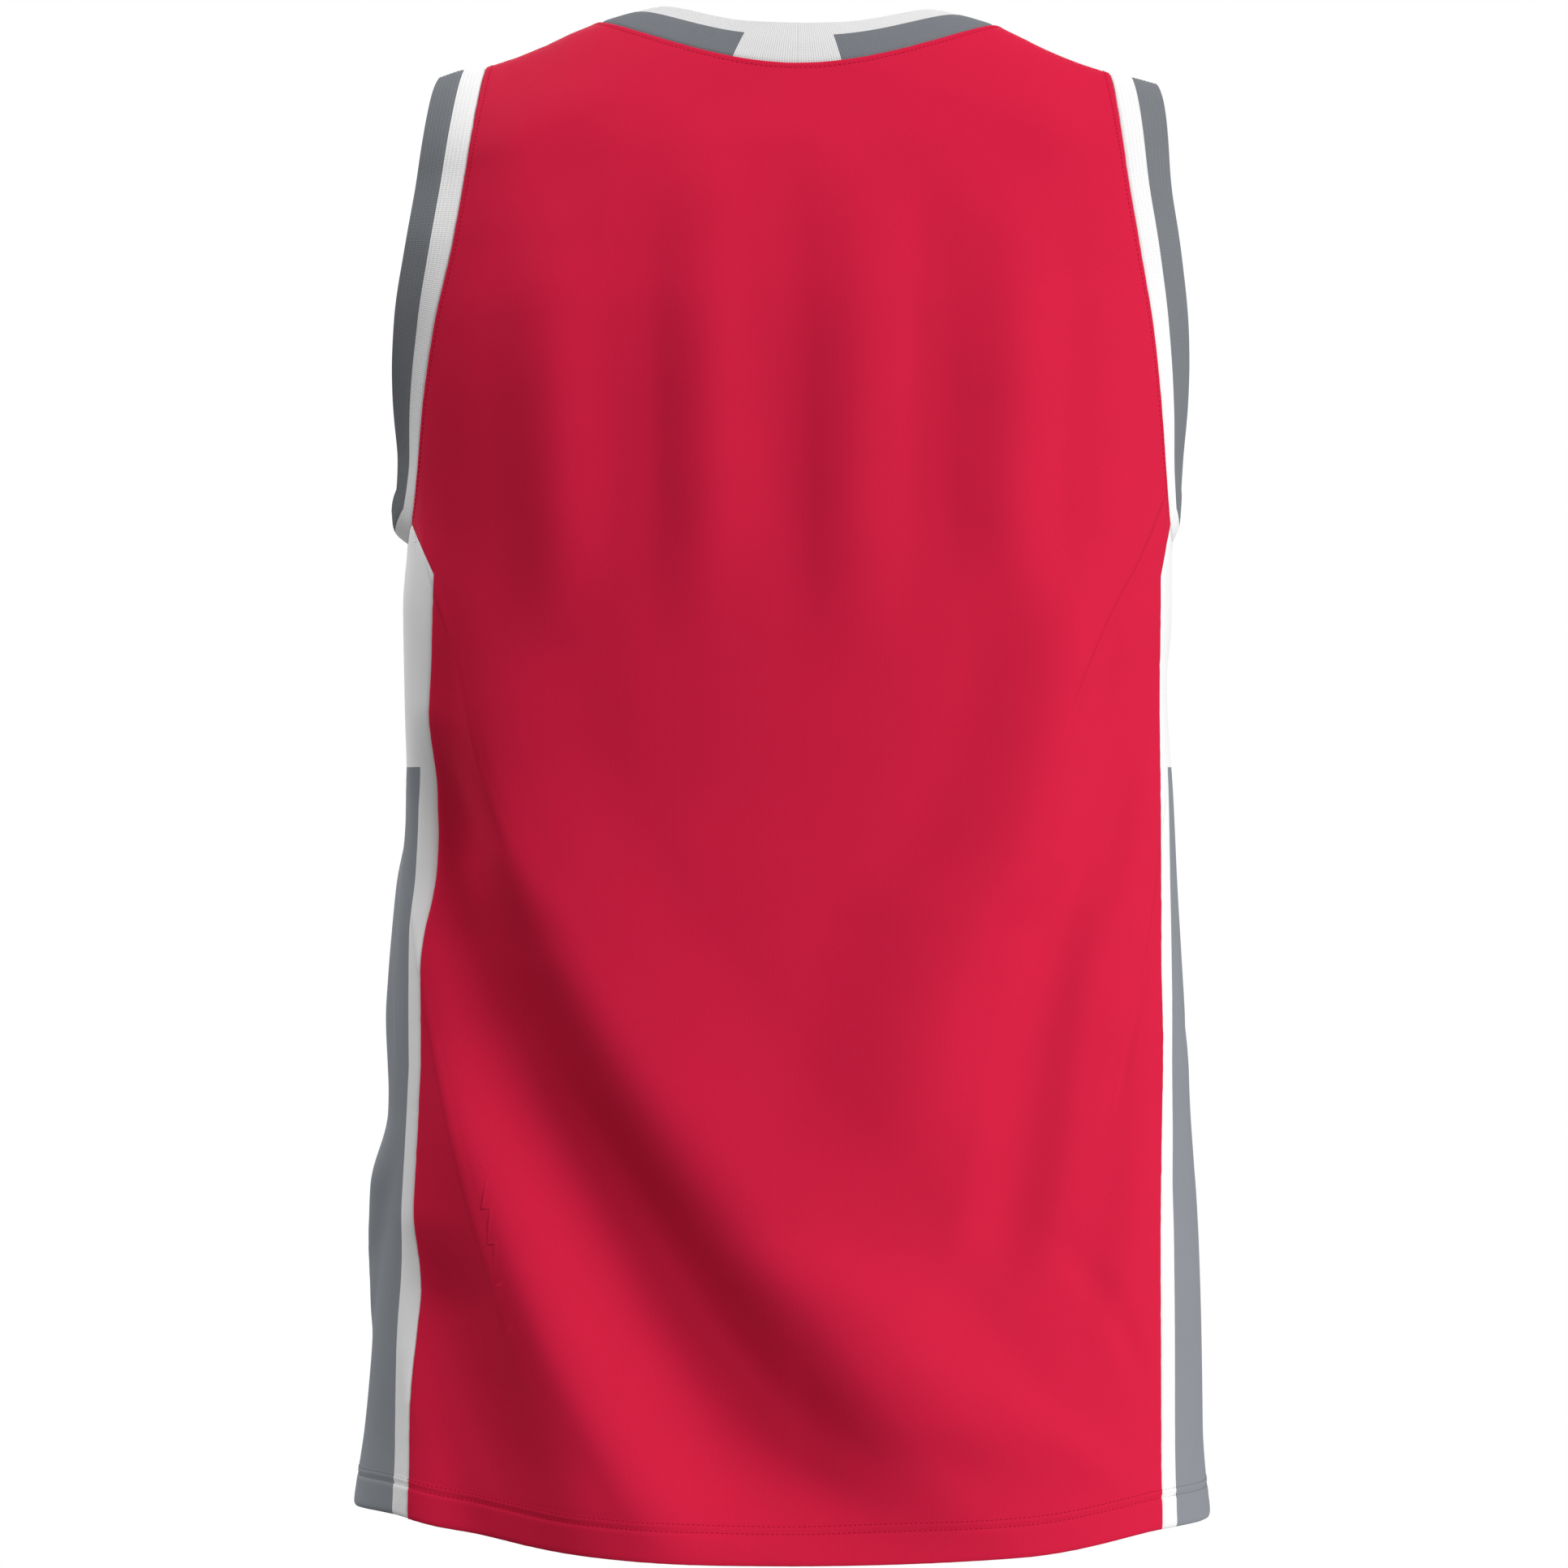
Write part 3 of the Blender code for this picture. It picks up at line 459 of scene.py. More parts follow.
# Thin creases, too fine for the mesh: the material draws them in relief. Each is a ridge, or a
# dent where its depth is negative, with its steep flank on the wearer's left. The field is how
# far from a crease its distance is kept, and the steep and gentle flanks are this wide.
CREASE_FIELD = 13.0 * MM
CREASE_STEEP = 3.2 * MM
CREASE_GENTLE = 7.0 * MM
THIN_CREASES = (
    # left side of the back
    Fold(
        ((74, -252), (68, -272), (62, -292), (56, -320), (52, -352), (48, -385), (40, -430)),
        depth=0.9, reach_left=8, reach_right=3,
    ),
    Fold(((78, -430), (70, -460), (63, -500), (50, -578), (42, -639), (38, -673)), 0.8, 8, 3),
    # right side of the back
    Fold(((-78, -234), (-70, -254), (-59, -284), (-52, -305), (-44, -340), (-39, -372)), -0.8, 8, 3),
    Fold(((-78, -380), (-72, -410), (-60, -481), (-53, -522), (-49, -560)), -0.6, 8, 3),
    # side panels
    Fold(((100, -390), (92, -430), (86, -468), (80, -500), (75, -540)), 0.45, 9, 2),
    Fold(((104, -500), (96, -545), (92, -590), (91, -640), (93, -690)), 0.40, 9, 2),
    Fold(((-84, -330), (-90, -380), (-96, -440), (-104, -490)), 0.35, 9, 2),
    # the front
    Fold(((101, -262), (110, -284), (124, -315), (131, -352), (141, -424)), 0.50, 9, 2),
    Fold(((104, -405), (113, -450), (124, -520), (136, -600), (143, -670)), 0.45, 9, 2),
    Fold(((-101, -262), (-110, -284), (-123, -315), (-132, -356), (-141, -420)), 0.45, 9, 2),
    Fold(((-104, -400), (-114, -452), (-124, -524), (-134, -596), (-139, -668)), 0.45, 9, 2),
)


def smooth_curve(places, values):
    """Return a smooth function through the knots that doesn't overshoot them."""
    x = np.asarray(places, dtype=float)
    y = np.asarray(values, dtype=float)
    if x[0] > x[-1]:
        x, y = x[::-1], y[::-1]
    step = np.diff(x)
    slope = np.diff(y) / step
    tangent = np.zeros(len(x))
    tangent[0], tangent[-1] = slope[0], slope[-1]
    product = slope[:-1] * slope[1:]
    total = slope[:-1] + slope[1:]
    np.divide(2 * product, total, out=tangent[1:-1], where=product > 0)

    def value(at):
        at = np.clip(at, x[0], x[-1])
        k = np.clip(np.searchsorted(x, at, side="right") - 1, 0, len(x) - 2)
        t = (at - x[k]) / step[k]
        start = (1 + 2 * t) * (1 - t) ** 2 * y[k] + t * (1 - t) ** 2 * step[k] * tangent[k]
        end = t * t * (3 - 2 * t) * y[k + 1] - t * t * (1 - t) * step[k] * tangent[k + 1]
        return start + end

    return value


def column_curve(rows, column, key="height", scale=MM, key_scale=MM):
    """A smooth curve of one named column of a table."""
    places = [getattr(row, key) * key_scale for row in rows]
    return smooth_curve(places, [getattr(row, column) * scale for row in rows])


RING_LEFT = column_curve(RINGS, "left")
RING_RIGHT = column_curve(RINGS, "right")
RING_BACK = column_curve(RINGS, "back")
RING_FRONT = column_curve(RINGS, "front")
RING_SQUARENESS = column_curve(RINGS, "squareness", scale=1)
SHOULDER_LEFT = column_curve(SHOULDERS, "left", key="across")
SHOULDER_RIGHT = column_curve(SHOULDERS, "right", key="across")
HEM_HEIGHT = column_curve(HEM, "height", key="turn", key_scale=math.pi / 180)


def smooth_step(at):
    at = np.clip(at, 0, 1)
    return at * at * (3 - 2 * at)


def unit(vectors):
    return vectors / np.linalg.norm(vectors, axis=-1, keepdims=True)


def square_to(vectors, line):
    """The part of each vector that is square to its line, at unit length."""
    return unit(vectors - line * np.sum(vectors * line, axis=-1, keepdims=True))


def mitre(before, after):
    """The step that moves a corner one unit away from the runs on both sides of it."""
    return (before + after) / (1 + np.sum(before * after, axis=-1, keepdims=True))


def lengths_along(points):
    """The distance along a line of points, from its start."""
    return np.concatenate([[0], np.cumsum(np.linalg.norm(np.diff(points, axis=0), axis=-1))])


def values_along(at, along, values):
    """Rows of values read between the points of a line, at distances along it."""
    return np.stack([np.interp(at, along, column) for column in values.T], axis=-1)


# ---------------------------------------------------------------- the body and the cut


def shoulder_height(x):
    """The height of the shoulder ridge, carried on up into the neck."""
    across = np.abs(x)
    neck = NECK_COLUMN_SLOPE * np.clip(NECK_HALF_WIDTH - across, 0, None)
    return np.where(x >= 0, SHOULDER_LEFT(across), SHOULDER_RIGHT(across)) + neck


def body_point(turn, height):
    """The smooth outer face of the worn cloth, without its folds."""
    side, depth = np.sin(turn), np.cos(turn)
    half_width = np.where(side >= 0, RING_LEFT(height), RING_RIGHT(height))
    half_depth = np.where(depth >= 0, RING_BACK(height), RING_FRONT(height))
    power = 2 / RING_SQUARENESS(height)
    x = half_width * np.sign(side) * np.abs(side) ** power
    y = half_depth * np.sign(depth) * np.abs(depth) ** power
    drop = np.clip((shoulder_height(x) - height) / SHOULDER_ROUNDING, 0, 1)
    y = y * np.sqrt(1 - (1 - drop) ** 2)
    return np.stack(np.broadcast_arrays(x, y, height), axis=-1)


def turn_at(x, height, facing):
    """The turn of a point at x on the back (facing 1) or the front (facing -1)."""
    half_width = np.where(x >= 0, RING_LEFT(height), RING_RIGHT(height))
    share = np.clip(np.abs(x) / half_width, 0, 1)
    turn = np.arcsin(share ** (RING_SQUARENESS(height) / 2)) * np.where(x >= 0, 1, -1)
    return turn if facing > 0 else math.pi * np.where(x >= 0, 1, -1) - turn


def side_cut(column, height):
    """One column of the side panels' cut at a height, straight between its rows."""
    heights = [row.height * MM for row in reversed(SIDE_CUTS)]
    return np.interp(height, heights, [getattr(row, column) * MM for row in reversed(SIDE_CUTS)])


def side_name(side):
    return "left" if side > 0 else "right"


def seam_turns(side, height):
    """The turns of a side panel's back and front seams: it is wrapped round at its cut width."""
    back_x = side * side_cut("back_" + side_name(side), height)
    start = turn_at(back_x, height, 1)
    fine = start + side * np.linspace(0, math.pi / 2, SEAM_SAMPLES)
    along = lengths_along(body_point(fine, height))
    return start, np.interp(side_cut("width", height), along, fine)


def seam_reach(facing, side, height):
    """How far the front or back panel reaches to one side at its side seam."""
    turn = seam_turns(side, height)[0 if facing > 0 else 1]
    return abs(body_point(turn, height)[0])


def armhole_reach(facing, side):
    """How far the front or back panel reaches to one side down its armhole."""
    column = ("back_" if facing > 0 else "front_") + side_name(side)
    heights = [row.height * MM for row in ARMHOLES] + [UNDERARM]
    reaches = [getattr(row, column) * MM for row in ARMHOLES]
    return smooth_curve(heights, reaches + [seam_reach(facing, side, UNDERARM)])


def fold_path(fold):
    """The turn along a fold at a height, and how much of its depth it has there."""
    turns = [math.radians(turn) for turn, _ in fold.path]
    heights = [height * MM for _, height in fold.path]
    turn_along = smooth_curve(heights, turns)
    top, first, last, bottom = heights[0], heights[1], heights[-2], heights[-1]

    def strength(height):
        fade_in = smooth_step((top - height) / (top - first))
        fade_out = smooth_step((height - bottom) / (last - bottom))
        return fade_in * fade_out

    return turn_along, strength


def fold_distance(fold, turn, height):
    """How far each place is from a fold's path, to the wearer's left, and the fold's strength."""
    turn_along, strength = fold_path(fold)
    above, below = height + FOLD_SLOPE_SPAN / 2, height - FOLD_SLOPE_SPAN / 2
    away = turn - turn_along(height)
    away = ((away + math.pi) % (2 * math.pi) - math.pi) * GIRTH_RADIUS
    lean = (turn_along(above) - turn_along(below)) / FOLD_SLOPE_SPAN * GIRTH_RADIUS
    return away / np.sqrt(1 + lean**2), strength(height)


def fold_offset(folds, turn, height):
    """How far the folds lift the cloth off the smooth body, or sink it."""
    offset = np.zeros(np.broadcast(turn, height).shape)
    for fold in folds:
        away, strength = fold_distance(fold, turn, height)
        reach = np.where(away >= 0, fold.reach_left, fold.reach_right) * MM
        bell = np.cos(np.clip(away / reach, -1, 1) * math.pi / 2) ** 2
        offset = offset + fold.depth * MM * bell * strength
    return offset


def crease_field(turn, height):
    """How far each place is from its nearest thin crease, to the wearer's left, and how high
    that crease is. The height is nothing where the nearest crease changes."""
    nearest = np.full(turn.shape, np.inf)
    kept = np.zeros(turn.shape)
    for crease in THIN_CREASES:
        away, strength = fold_distance(crease, turn, height)
        closer = np.abs(away) < np.abs(nearest)
        nearest = np.where(closer, away, nearest)
        near = smooth_step((CREASE_FIELD - np.abs(away)) / (CREASE_FIELD - CREASE_GENTLE))
        kept = np.where(closer, strength * crease.depth * near, kept)
    return np.clip(nearest, -CREASE_FIELD, CREASE_FIELD), kept


def body_rows():
    """Heights of the rows from the underarm to the hem, at the seams' own levels."""
    levels = (
        (GUSSET_BOTTOM, ROW_PITCH),
        (STRIPE_TOP, ROW_PITCH),
        (MEAN_HEM + HEM_DEPTH, ROW_PITCH),
        (MEAN_HEM + HEM_WALL / 2, HEM_ROW_PITCH),
    )
    rows = [UNDERARM]
    for level, pitch in levels:
        above = rows[-1]
        count = max(1, round((above - level) / pitch))
        rows += [above + (level - above) * k / count for k in range(1, count + 1)]
    return np.array(rows)


BODY_ROWS = body_rows()


def follow_hem(turn, height):
    """Rows near the hem rise and fall with it."""
    share = smooth_step((HEM_WAVE_TOP - height) / (HEM_WAVE_TOP - MEAN_HEM))
    return height + (HEM_HEIGHT(turn) - MEAN_HEM) * share


def neckline(facing, angle):
    """How far across and how far down the neck seam is at an angle from its centre."""
    if facing > 0:
        x = NECK_HALF_WIDTH * np.sin(angle)
        return x, NECK_DROP_BACK * np.cos(math.pi / 2 * np.sin(angle))
    across, down = NECK_FRONT_ROUNDNESS
    x = NECK_HALF_WIDTH * np.sin(angle) ** (2 / across)
    return x, NECK_DROP_FRONT * np.abs(np.cos(angle)) ** (2 / down)


def neck_edge(facing, side, angles):
    """How far out and how high the neck seam is on one side, at angles from its centre."""
    x, drop = neckline(facing, angles)
    return x, shoulder_height(side * NECK_HALF_WIDTH) * np.sin(angles) ** 2 - drop


def neck_angles(facing, side):
    """The angles of the neck's columns: closer together where the seam bends more."""
    block_reach = NECK_BLOCK_WIDTH / 2 + side * NECK_BLOCK_SHIFT
    block_angle = math.asin(block_reach / NECK_HALF_WIDTH)
    fine = np.linspace(block_angle, math.pi / 2, SEAM_SAMPLES)
    x, height = neck_edge(facing, side, fine)
    runs = np.diff(body_point(turn_at(side * x, height, facing), height), axis=0)
    lengths = np.linalg.norm(runs, axis=1)
    bends = np.linalg.norm(np.diff(unit(runs), axis=0), axis=1)
    steps = lengths + NECK_BEND_WEIGHT * np.concatenate([[0], bends])
    along = np.concatenate([[0], np.cumsum(steps)])
    even = np.linspace(0, along[-1], NECK_COLUMNS - NECK_BLOCK_COLUMNS + 1)
    outside = np.interp(even, along, fine)
    return np.concatenate([np.linspace(0, block_angle, NECK_BLOCK_COLUMNS + 1)[:-1], outside])


def shoulder_left_over():
    """The share of the shoulder that is left at each of its columns, from the neck out."""
    return (1 - np.arange(1, SHOULDER_COLUMNS + 1) / SHOULDER_COLUMNS) ** SHOULDER_CROWDING


def top_edge(facing, side):
    """The top of a panel's half, from the centre of the neck out to the shoulder tip."""
    neck_x, neck_height = neck_edge(facing, side, neck_angles(facing, side))
    tip = SHOULDERS[-1].across * MM
    shoulder_x = tip - (tip - NECK_HALF_WIDTH) * shoulder_left_over()
    x = np.concatenate([neck_x, shoulder_x])
    return x, np.concatenate([neck_height, shoulder_height(side * shoulder_x)])


def panel_places(facing):
    """Turns and heights of the front or back panel's grid, top row first, right edge first."""
    tip_reach = SHOULDERS[-1].across * MM
    halves = []
    for side in (-1, 1):
        edge_x, edge_height = top_edge(facing, side)
        armhole = armhole_reach(facing, side)
        top_share = edge_x / tip_reach
        below_neck = np.linspace(0, 1 - SHOULDER_LOW_SHARE, NECK_COLUMNS + 1)
        below_shoulder = 1 - SHOULDER_LOW_SHARE * shoulder_left_over()
        low_share = np.concatenate([below_neck, below_shoulder])
        turns, heights = [], []
        for step in np.arange(YOKE_ROWS) / YOKE_ROWS:
            height = edge_height + (UNDERARM - edge_height) * step**YOKE_ROW_CROWDING
            share = top_share + (low_share - top_share) * step ** YOKE_FAN_CROWDING[facing]
            x = side * share * armhole(height)
            turns.append(turn_at(x, height, facing))
            heights.append(height)
        for row in BODY_ROWS:
            x = side * low_share * seam_reach(facing, side, row)
            turn = turn_at(x, row, facing)
            turns.append(turn)
            heights.append(follow_hem(turn, np.full(len(turn), row)))
        halves.append((np.array(turns), np.array(heights)))
    turn = np.hstack([halves[0][0][:, :0:-1], halves[1][0]])
    height = np.hstack([halves[0][1][:, :0:-1], halves[1][1]])
    return turn, height


def side_places(side):
    """Turns and heights of a side panel's grid, underarm row first, back seam first."""
    margin = SIDE_STRIPE_MARGIN * (np.arange(MARGIN_COLUMNS) / MARGIN_COLUMNS) ** SHOULDER_CROWDING
    turns, heights = [], []
    for row in BODY_ROWS:
        start, end = seam_turns(side, row)
        fine = np.linspace(start, end, SEAM_SAMPLES)
        along = lengths_along(body_point(fine, row))
        width = along[-1]
        stripe = np.linspace(SIDE_STRIPE_MARGIN, width - SIDE_STRIPE_MARGIN, STRIPE_COLUMNS + 1)
        places = np.concatenate([margin, stripe, width - margin[::-1]])
        sag = UNDERARM_SAG * np.clip((row - GUSSET_BOTTOM) / (UNDERARM - GUSSET_BOTTOM), 0, 1)
        turn = np.interp(places, along, fine)
        turns.append(turn)
        heights.append(follow_hem(turn, row - sag * np.sin(math.pi * places / width)))
    return np.array(turns), np.array(heights)


# ---------------------------------------------------------------- panels as grids


def grid_normals(points):
    """Outward unit normals of a grid of points."""
    normal = unit(np.cross(np.gradient(points, axis=1), np.gradient(points, axis=0)))
    middle = points.reshape(-1, 3).mean(axis=0) * (1, 0, 1)
    return normal if np.sum(normal * (points - middle)) > 0 else -normal


class Sheet:
    """One panel's outer face: a grid of points with their normals."""

    def __init__(self, turn, height):
        self.turn = turn
        self.height = height
        self.points = body_point(turn, height)
        self.normals = grid_normals(self.points)

    def lift(self, offset):
        self.points = self.points + self.normals * offset[..., None]
        self.normals = grid_normals(self.points)

    def finish(self, relief):
        """Add the seams' and hem's relief, and keep the form without it for what is sewn on."""
        self.form = self.points
        self.form_normals = self.normals
        self.lift(relief)


def share_border(first, first_index, second, second_index):
    """Give two panels the same normals along the seam between them."""
    shared = unit(first.normals[first_index] + second.normals[second_index])
    first.normals[first_index] = shared
    second.normals[second_index] = shared


def make_sheets():
    """The four panels' outer faces, with common normals along their seams."""
    sheets = {
        "back_panel": Sheet(*panel_places(1)),
        "front_panel": Sheet(*panel_places(-1)),
        "side_panel_left": Sheet(*side_places(1)),
        "side_panel_right": Sheet(*side_places(-1)),
    }
    back, front = sheets["back_panel"], sheets["front_panel"]
    body = slice(YOKE_ROWS, None)
    shoulder_right = (0, slice(0, SHOULDER_COLUMNS + 1))
    shoulder_left = (0, slice(-SHOULDER_COLUMNS - 1, None))

    def share_all():
        for name, column in (("side_panel_left", -1), ("side_panel_right", 0)):
            share_border(back, (body, column), sheets[name], (slice(None), 0))
            share_border(front, (body, column), sheets[name], (slice(None), -1))
        for shoulder in (shoulder_right, shoulder_left):
            share_border(back, shoulder, front, shoulder)

    share_all()
    for sheet in sheets.values():
        sheet.lift(fold_offset(FOLDS, sheet.turn, sheet.height))
    share_all()
    return sheets


def ways_in(border, inside, normals):
    """For each run between neighbouring border points, the way into the piece along its face."""
    line = unit(np.diff(border, axis=0))
    across = unit(np.cross(line, normals[:-1] + normals[1:]))
    inward = (inside - border)[:-1] + (inside - border)[1:]
    return across * np.sign(np.sum(across * inward, axis=-1, keepdims=True))


def border_steps(points, inside, normals):
    """At each point of an open border, the step of one unit into the piece."""
    ways = ways_in(points, inside, normals)
    return mitre(np.concatenate([ways[:1], ways]), np.concatenate([ways, ways[-1:]]))


def opening_loop(runs):
    """Join border runs of the panels into one closed loop: points, normals and ways out."""
    points = np.concatenate([sheet.form[border][:-1] for sheet, border, _ in runs])
    normals = np.concatenate([sheet.form_normals[border][:-1] for sheet, border, _ in runs])
    ways = [
        ways_in(sheet.form[border], sheet.form[inside], sheet.form_normals[border])
        for sheet, border, inside in runs
    ]
    return points, normals, -np.concatenate(ways)


def guide_steps(count, guide, first=0):
    return np.arange(first, count + 1, guide)


def neck_loop(sheets, guides=False):
    """The neck seam, from the centre of the back over the left shoulder and back."""
    back, front = sheets["back_panel"], sheets["front_panel"]
    middle = NECK_COLUMNS + SHOULDER_COLUMNS
    steps = np.arange(NECK_COLUMNS + 1)
    if guides:
        block = guide_steps(NECK_BLOCK_COLUMNS - 1, NECK_BLOCK_GUIDE)
        steps = np.concatenate([block, guide_steps(NECK_COLUMNS, NECK_GUIDE, NECK_BLOCK_COLUMNS)])
    outwards = middle + steps
    inwards = outwards[::-1]
    other_side = 2 * middle
    runs = [
        (back, (0, outwards), (INSIDE_ROW, outwards)),
        (front, (0, inwards), (INSIDE_ROW, inwards)),
        (front, (0, other_side - outwards), (INSIDE_ROW, other_side - outwards)),
        (back, (0, other_side - inwards), (INSIDE_ROW, other_side - inwards)),
    ]
    return opening_loop(runs)


def arm_loop(sheets, side, guides=False):
    """An armhole seam, from the shoulder tip down the back, under the arm and up the front."""
    edge, inside = (-1, -2) if side > 0 else (0, 1)
    downwards = np.arange(0, YOKE_ROWS + 1, YOKE_GUIDE if guides else 1)
    upwards = downwards[::-1]
    across = np.arange(SIDE_COLUMNS + 1)
    if guides:
        stripe = guide_steps(SIDE_COLUMNS - MARGIN_COLUMNS, STRIPE_GUIDE, MARGIN_COLUMNS)
        across = np.concatenate([[0], stripe, [SIDE_COLUMNS]])
    runs = [
        (sheets["back_panel"], (downwards, edge), (downwards, inside)),
        (sheets["side_panel_" + side_name(side)], (0, across), (1, across)),
        (sheets["front_panel"], (upwards, edge), (upwards, inside)),
    ]
    return opening_loop(runs)


# ---------------------------------------------------------------- seams, hems and puckers


def resample(points, pitch):
    """Points at an even pitch along a line of points."""
    along = lengths_along(points)
    return values_along(np.arange(0, along[-1], pitch), along, points)


def border_field(points, border):
    """How far each point of a grid lies from a border line, and where along it is nearest."""
    fine = resample(border, BORDER_PITCH)
    tree = KDTree(len(fine))
    for index, place in enumerate(fine):
        tree.insert(place, index)
    tree.balance()
    places = points.reshape(-1, 3)
    nearest = np.array([tree.find(place)[1] for place in places])
    apart = places - fine[nearest]
    past = np.sum(apart * unit(np.gradient(fine, axis=0))[nearest], axis=1)
    past = np.clip(past, -BORDER_PITCH, BORDER_PITCH)
    past = past * ((nearest > 0) & (nearest < len(fine) - 1))
    distance = np.sqrt(np.clip(np.sum(apart**2, axis=1) - past**2, 0, None))
    shape = points.shape[:2]
    return distance.reshape(shape), (nearest * BORDER_PITCH + past).reshape(shape)


def ripple(along, phase):
    """An uneven wave along a seam, about -1 to 1."""
    total = sum(
        share * np.sin(2 * math.pi * along / pitch + phase * (k + 1) * 1.7)
        for k, (pitch, share) in enumerate(PUCKER_WAVES)
    )
    return total * (0.65 + 0.35 * np.sin(2 * math.pi * along / PUCKER_SWELL + phase))


def puckered(pucker, distance, along, phase):
    """Small uneven waves along a seam that die away from it."""
    return pucker.height * ripple(along, phase) * np.exp(-distance / pucker.reach)


def rolled_edge(distance):
    """An edge that rolls under."""
    return -EDGE_ROLL * np.exp(-distance / EDGE_ROLL_REACH)


def bump_at(distance, centre, reach):
    return np.exp(-(((distance - centre) / reach) ** 2))


def sewn_edge(distance, along, phase):
    """The relief beside a seam whose cloth edge is turned under and sewn down."""
    groove = -STITCH_GROOVE * bump_at(distance, STITCH_INSET, STITCH_GROOVE_REACH)
    puff = SEAM_PUFF * bump_at(distance, STITCH_INSET / 2, STITCH_INSET / 3)
    pucker = puckered(SEWN_PUCKER, distance, along, phase)
    return rolled_edge(distance) + groove + puff + pucker


def plain_seam(distance, along, phase):
    """The relief beside a seam that is only sewn on the inside."""
    allowance = ALLOWANCE_RELIEF * smooth_step((ALLOWANCE_WIDTH - distance) / ALLOWANCE_FADE)
    return rolled_edge(distance) + allowance + puckered(PLAIN_PUCKER, distance, along, phase)


def hem_relief(distance, along):
    """The relief of the folded hem, by the distance up from its edge."""
    grooves = 0
    for row, depth in zip(HEM_STITCH_ROWS, HEM_GROOVES):
        grooves = grooves + depth * bump_at(distance, row, HEM_GROOVE_REACH)
    top = HEM_STITCH_ROWS[1]
    fold = HEM_FOLD_RELIEF * smooth_step((top + HEM_FOLD_PAST - distance) / HEM_FOLD_FADE)
    ropes = HEM_ROPES * ripple(along + HEM_ROPE_SLANT * distance, 2.0)
    ropes = ropes * smooth_step((top + HEM_ROPE_FADE - distance) / HEM_ROPE_FADE)
    return fold + ropes + rolled_edge(distance) - grooves


def slack(turn, height):
    """A faint unevenness of soft cloth, too low to read as a fold."""
    across = turn * GIRTH_RADIUS
    first = np.sin(across / (31 * MM) + 3.1 * np.sin(height / (83 * MM)))
    second = np.sin(height / (47 * MM) + 2.3 * np.sin(across / (64 * MM) + 1.1))
    third = np.sin((across + height) / (19 * MM) + 1.9 * np.sin(height / (39 * MM)))
    return (0.22 * first + 0.18 * second + 0.08 * third) * MM


def soft_relief(sheet, fade=1):
    """Slack and soft creases, which fade out towards a panel's sides."""
    offset = slack(sheet.turn, sheet.height) + fold_offset(CREASES, sheet.turn, sheet.height)
    offset = offset * fade
    for edge in (0, -1):
        distance = border_field(sheet.points, sheet.points[:, edge])[0]
        offset = offset * smooth_step(distance / CREASE_FADE)
    return offset


def finish_panel(sheet):
    """Add seam, hem and soft relief to the front or back panel."""
    points = sheet.points
    neck = slice(SHOULDER_COLUMNS, -SHOULDER_COLUMNS)
    yoke = slice(0, YOKE_ROWS + 1)
    offset = soft_relief(sheet, smooth_step(np.abs(sheet.height) / SHOULDER_FADE))
    sewn = [points[0, neck], points[yoke, 0], points[yoke, -1]]
    plain = [points[YOKE_ROWS:, 0], points[YOKE_ROWS:, -1]]
    plain += [points[0, : SHOULDER_COLUMNS + 1], points[0, -SHOULDER_COLUMNS - 1 :]]
    for phase, border in enumerate(sewn):
        offset = offset + sewn_edge(*border_field(points, border), phase + 0.4)
    for phase, border in enumerate(plain):
        offset = offset + plain_seam(*border_field(points, border), phase + 1.3)
    offset = offset + hem_relief(*border_field(points, points[-1]))
    sheet.finish(offset)


def finish_side(sheet):
    """Add seam, hem and soft relief to a side panel, which rises from under the red edges."""
    points = sheet.points
    offset = soft_relief(sheet)
    for phase, border in enumerate((points[:, 0], points[:, -1], points[0])):
        distance, along = border_field(points, border)
        offset = offset + puckered(SIDE_PUCKER, distance, along, phase + 2.6)
        if phase < 2:
            offset = offset - SEAM_DIP * np.exp(-distance / SEAM_RISE)
        else:
            offset = offset + sewn_edge(distance, along, phase)
    offset = offset + hem_relief(*border_field(points, points[-1]))
    sheet.finish(offset)


# ---------------------------------------------------------------- meshes


def quads(index):
    """The four corners of each cell of a grid."""
    cells = (index[:-1, :-1], index[1:, :-1], index[1:, 1:], index[:-1, 1:])
    return np.stack(cells, axis=-1).reshape(-1, 4)


def build_mesh(name, vertices, faces, tones, places, cloth, materials):
    """Make a piece. The places give each face corner's spot in the list of flat cloth spots."""
    data = bpy.data.meshes.new(name)
    data.from_pydata(vertices.tolist(), [], faces)
    data.polygons.foreach_set("material_index", np.asarray(tones, dtype=np.int32))
    layer = data.uv_layers.new(name="cloth")
    corners = np.concatenate([np.asarray(place).reshape(-1) for place in places])
    layer.data.foreach_set("uv", cloth[corners].reshape(-1).astype(np.float32))
    for material in materials:
        data.materials.append(material)
    work = bmesh.new()
    work.from_mesh(data)
    bmesh.ops.recalc_face_normals(work, faces=work.faces)
    work.to_mesh(data)
    work.free()
    data.shade_smooth()
    piece = bpy.data.objects.new(name, data)
    bpy.context.collection.objects.link(piece)
    return piece


def cloth_places(points, closed):
    """Each grid point's place on the flat cloth, in metres: across it, and up it."""
    if closed:
        points = np.concatenate([points, points[:, :1]], axis=1)
    across = np.linalg.norm(np.diff(points, axis=1), axis=2)
    across = np.concatenate([np.zeros((len(points), 1)), np.cumsum(across, axis=1)], axis=1)
    across = across.mean(axis=0) if closed else across - across[:, [across.shape[1] // 2]]
    down = np.linalg.norm(np.diff(points, axis=0), axis=2)
    down = np.concatenate([np.zeros((1, points.shape[1])), np.cumsum(down, axis=0)])
    up = -down if closed else down[-1] - down
    return np.stack(np.broadcast_arrays(across, up), axis=-1)


